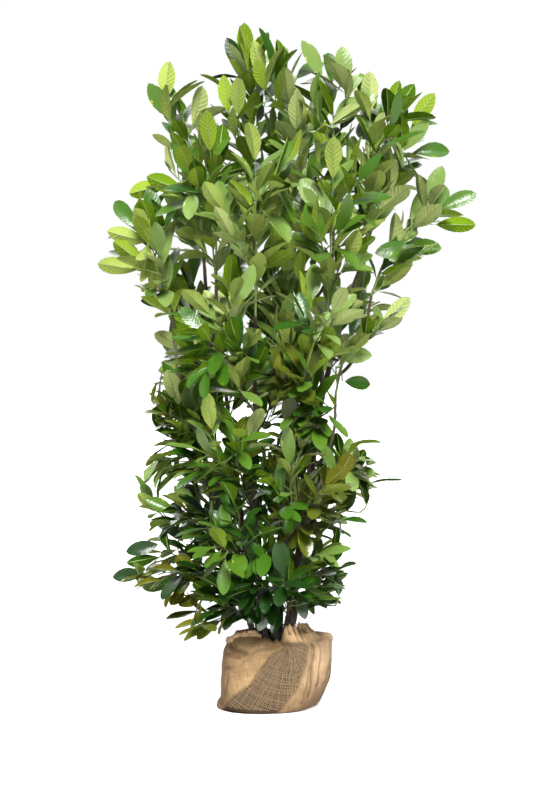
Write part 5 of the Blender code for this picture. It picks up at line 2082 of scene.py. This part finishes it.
def add_low_lamp(power):
    """A soft lamp near the floor that lights the ball under the leaves."""
    lamp = bpy.data.lights.new("low", "SPOT")
    lamp.energy = power
    lamp.spot_size = radians(10.0)
    lamp.spot_blend = 0.35
    lamp.shadow_soft_size = 0.12
    made = add_object("low", lamp)
    made.location = (-0.35, -2.3, 0.50)
    made.rotation_euler = looking(Vector((-0.01, 0, 0.07)) - made.location)


def add_surroundings(scene, strength, gloss):
    """White surroundings, which light the plant less brightly than they look or are mirrored."""
    world = bpy.data.worlds.new("white_surroundings")
    world.use_nodes = True
    tree = world.node_tree
    background = tree.nodes["Background"]
    background.inputs["Color"].default_value = (1, 1, 1, 1)
    ray = add_node(tree, "ShaderNodeLightPath").outputs
    mirrored = product(tree, ray["Is Glossy Ray"], gloss)
    shown = sums(tree, "MAXIMUM", ray["Is Camera Ray"], mirrored)
    tree.links.new(sums(tree, "MAXIMUM", shown, strength), background.inputs["Strength"])
    scene.world = world


class LAUREL_OT_stage(bpy.types.Operator):
    """Set the floor, the soft light and the camera"""

    bl_idname = "laurel.stage"
    bl_label = "Stage"

    def execute(self, context):
        scene = context.scene
        sizes = scene.laurel_stage
        add_surroundings(scene, sizes.sky, sizes.gloss)
        scene.view_settings.view_transform = "Standard"
        grey = (0.62, 0.62, 0.62)
        floor_finish, tree, shader = principled("pale_floor", grey, 1.0, Specular_IOR_Level=0.0)
        shader.inputs["Emission Color"].default_value = (1, 1, 1, 1)
        ray = add_node(tree, "ShaderNodeLightPath").outputs
        lifted = product(tree, ray["Is Camera Ray"], sizes.floor_lift)
        tree.links.new(lifted, shader.inputs["Emission Strength"])
        half = FLOOR_WIDTH / 2
        corners = [(-half, -half, 0), (half, -half, 0), (half, half, 0), (-half, half, 0)]
        floor = add_mesh("floor", corners, [(0, 1, 2, 3)], [floor_finish])
        floor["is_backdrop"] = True
        for name, (side, width) in LIGHTS.items():
            light = bpy.data.lights.new(name, "SUN")
            light.energy = getattr(sizes, name)
            light.angle = radians(width)
            add_object(name, light).rotation_euler = looking(-Vector(side))
        add_low_lamp(sizes.low)
        lens = bpy.data.cameras.new("camera")
        lens.lens = sizes.focal
        lens.sensor_width = 36
        camera = add_object("camera", lens)
        camera.location = (sizes.aside, -sizes.distance, sizes.height)
        camera.rotation_euler = looking(Vector((sizes.aside, 0, sizes.aim)) - camera.location)
        scene.camera = camera
        return {"FINISHED"}


# ---- add-on


class LAUREL_PT_panel(bpy.types.Panel):
    """The laurel's settings and pieces"""

    bl_label = "Laurel"
    bl_idname = "LAUREL_PT_panel"
    bl_space_type = "VIEW_3D"
    bl_region_type = "UI"
    bl_category = "Laurel"

    def draw(self, context):
        for group in SETTINGS:
            box = self.layout.box()
            settings = getattr(context.scene, group)
            for name in settings.__annotations__:
                box.prop(settings, name)
        for operator in OPERATORS:
            self.layout.operator(operator.bl_idname)


SETTINGS = {
    "laurel_foliage": LaurelFoliage,
    "laurel_bark": LaurelBark,
    "laurel_ball": LaurelBall,
    "laurel_stage": LaurelStage,
}
OPERATORS = (
    LAUREL_OT_stage,
    LAUREL_OT_limbs,
    LAUREL_OT_twigs,
    LAUREL_OT_leaves,
    LAUREL_OT_soil,
    LAUREL_OT_wrap,
    LAUREL_OT_threads,
)
CLASSES = (*SETTINGS.values(), *OPERATORS, LAUREL_PT_panel)


def register():
    for made in CLASSES:
        bpy.utils.register_class(made)
    for name, group in SETTINGS.items():
        setattr(bpy.types.Scene, name, PointerProperty(type=group))


def unregister():
    for name in SETTINGS:
        delattr(bpy.types.Scene, name)
    for made in reversed(CLASSES):
        bpy.utils.unregister_class(made)


def main():
    register()
    bpy.ops.laurel.stage()
    bpy.ops.laurel.limbs()
    bpy.ops.laurel.twigs()
    bpy.ops.laurel.leaves()
    bpy.ops.laurel.soil()
    bpy.ops.laurel.wrap()
    bpy.ops.laurel.threads()
    sizes = [[list(corner) for corner in bounds] for bounds in (CAD_BOUNDS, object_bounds())]


if __name__ == "__main__":
    main()
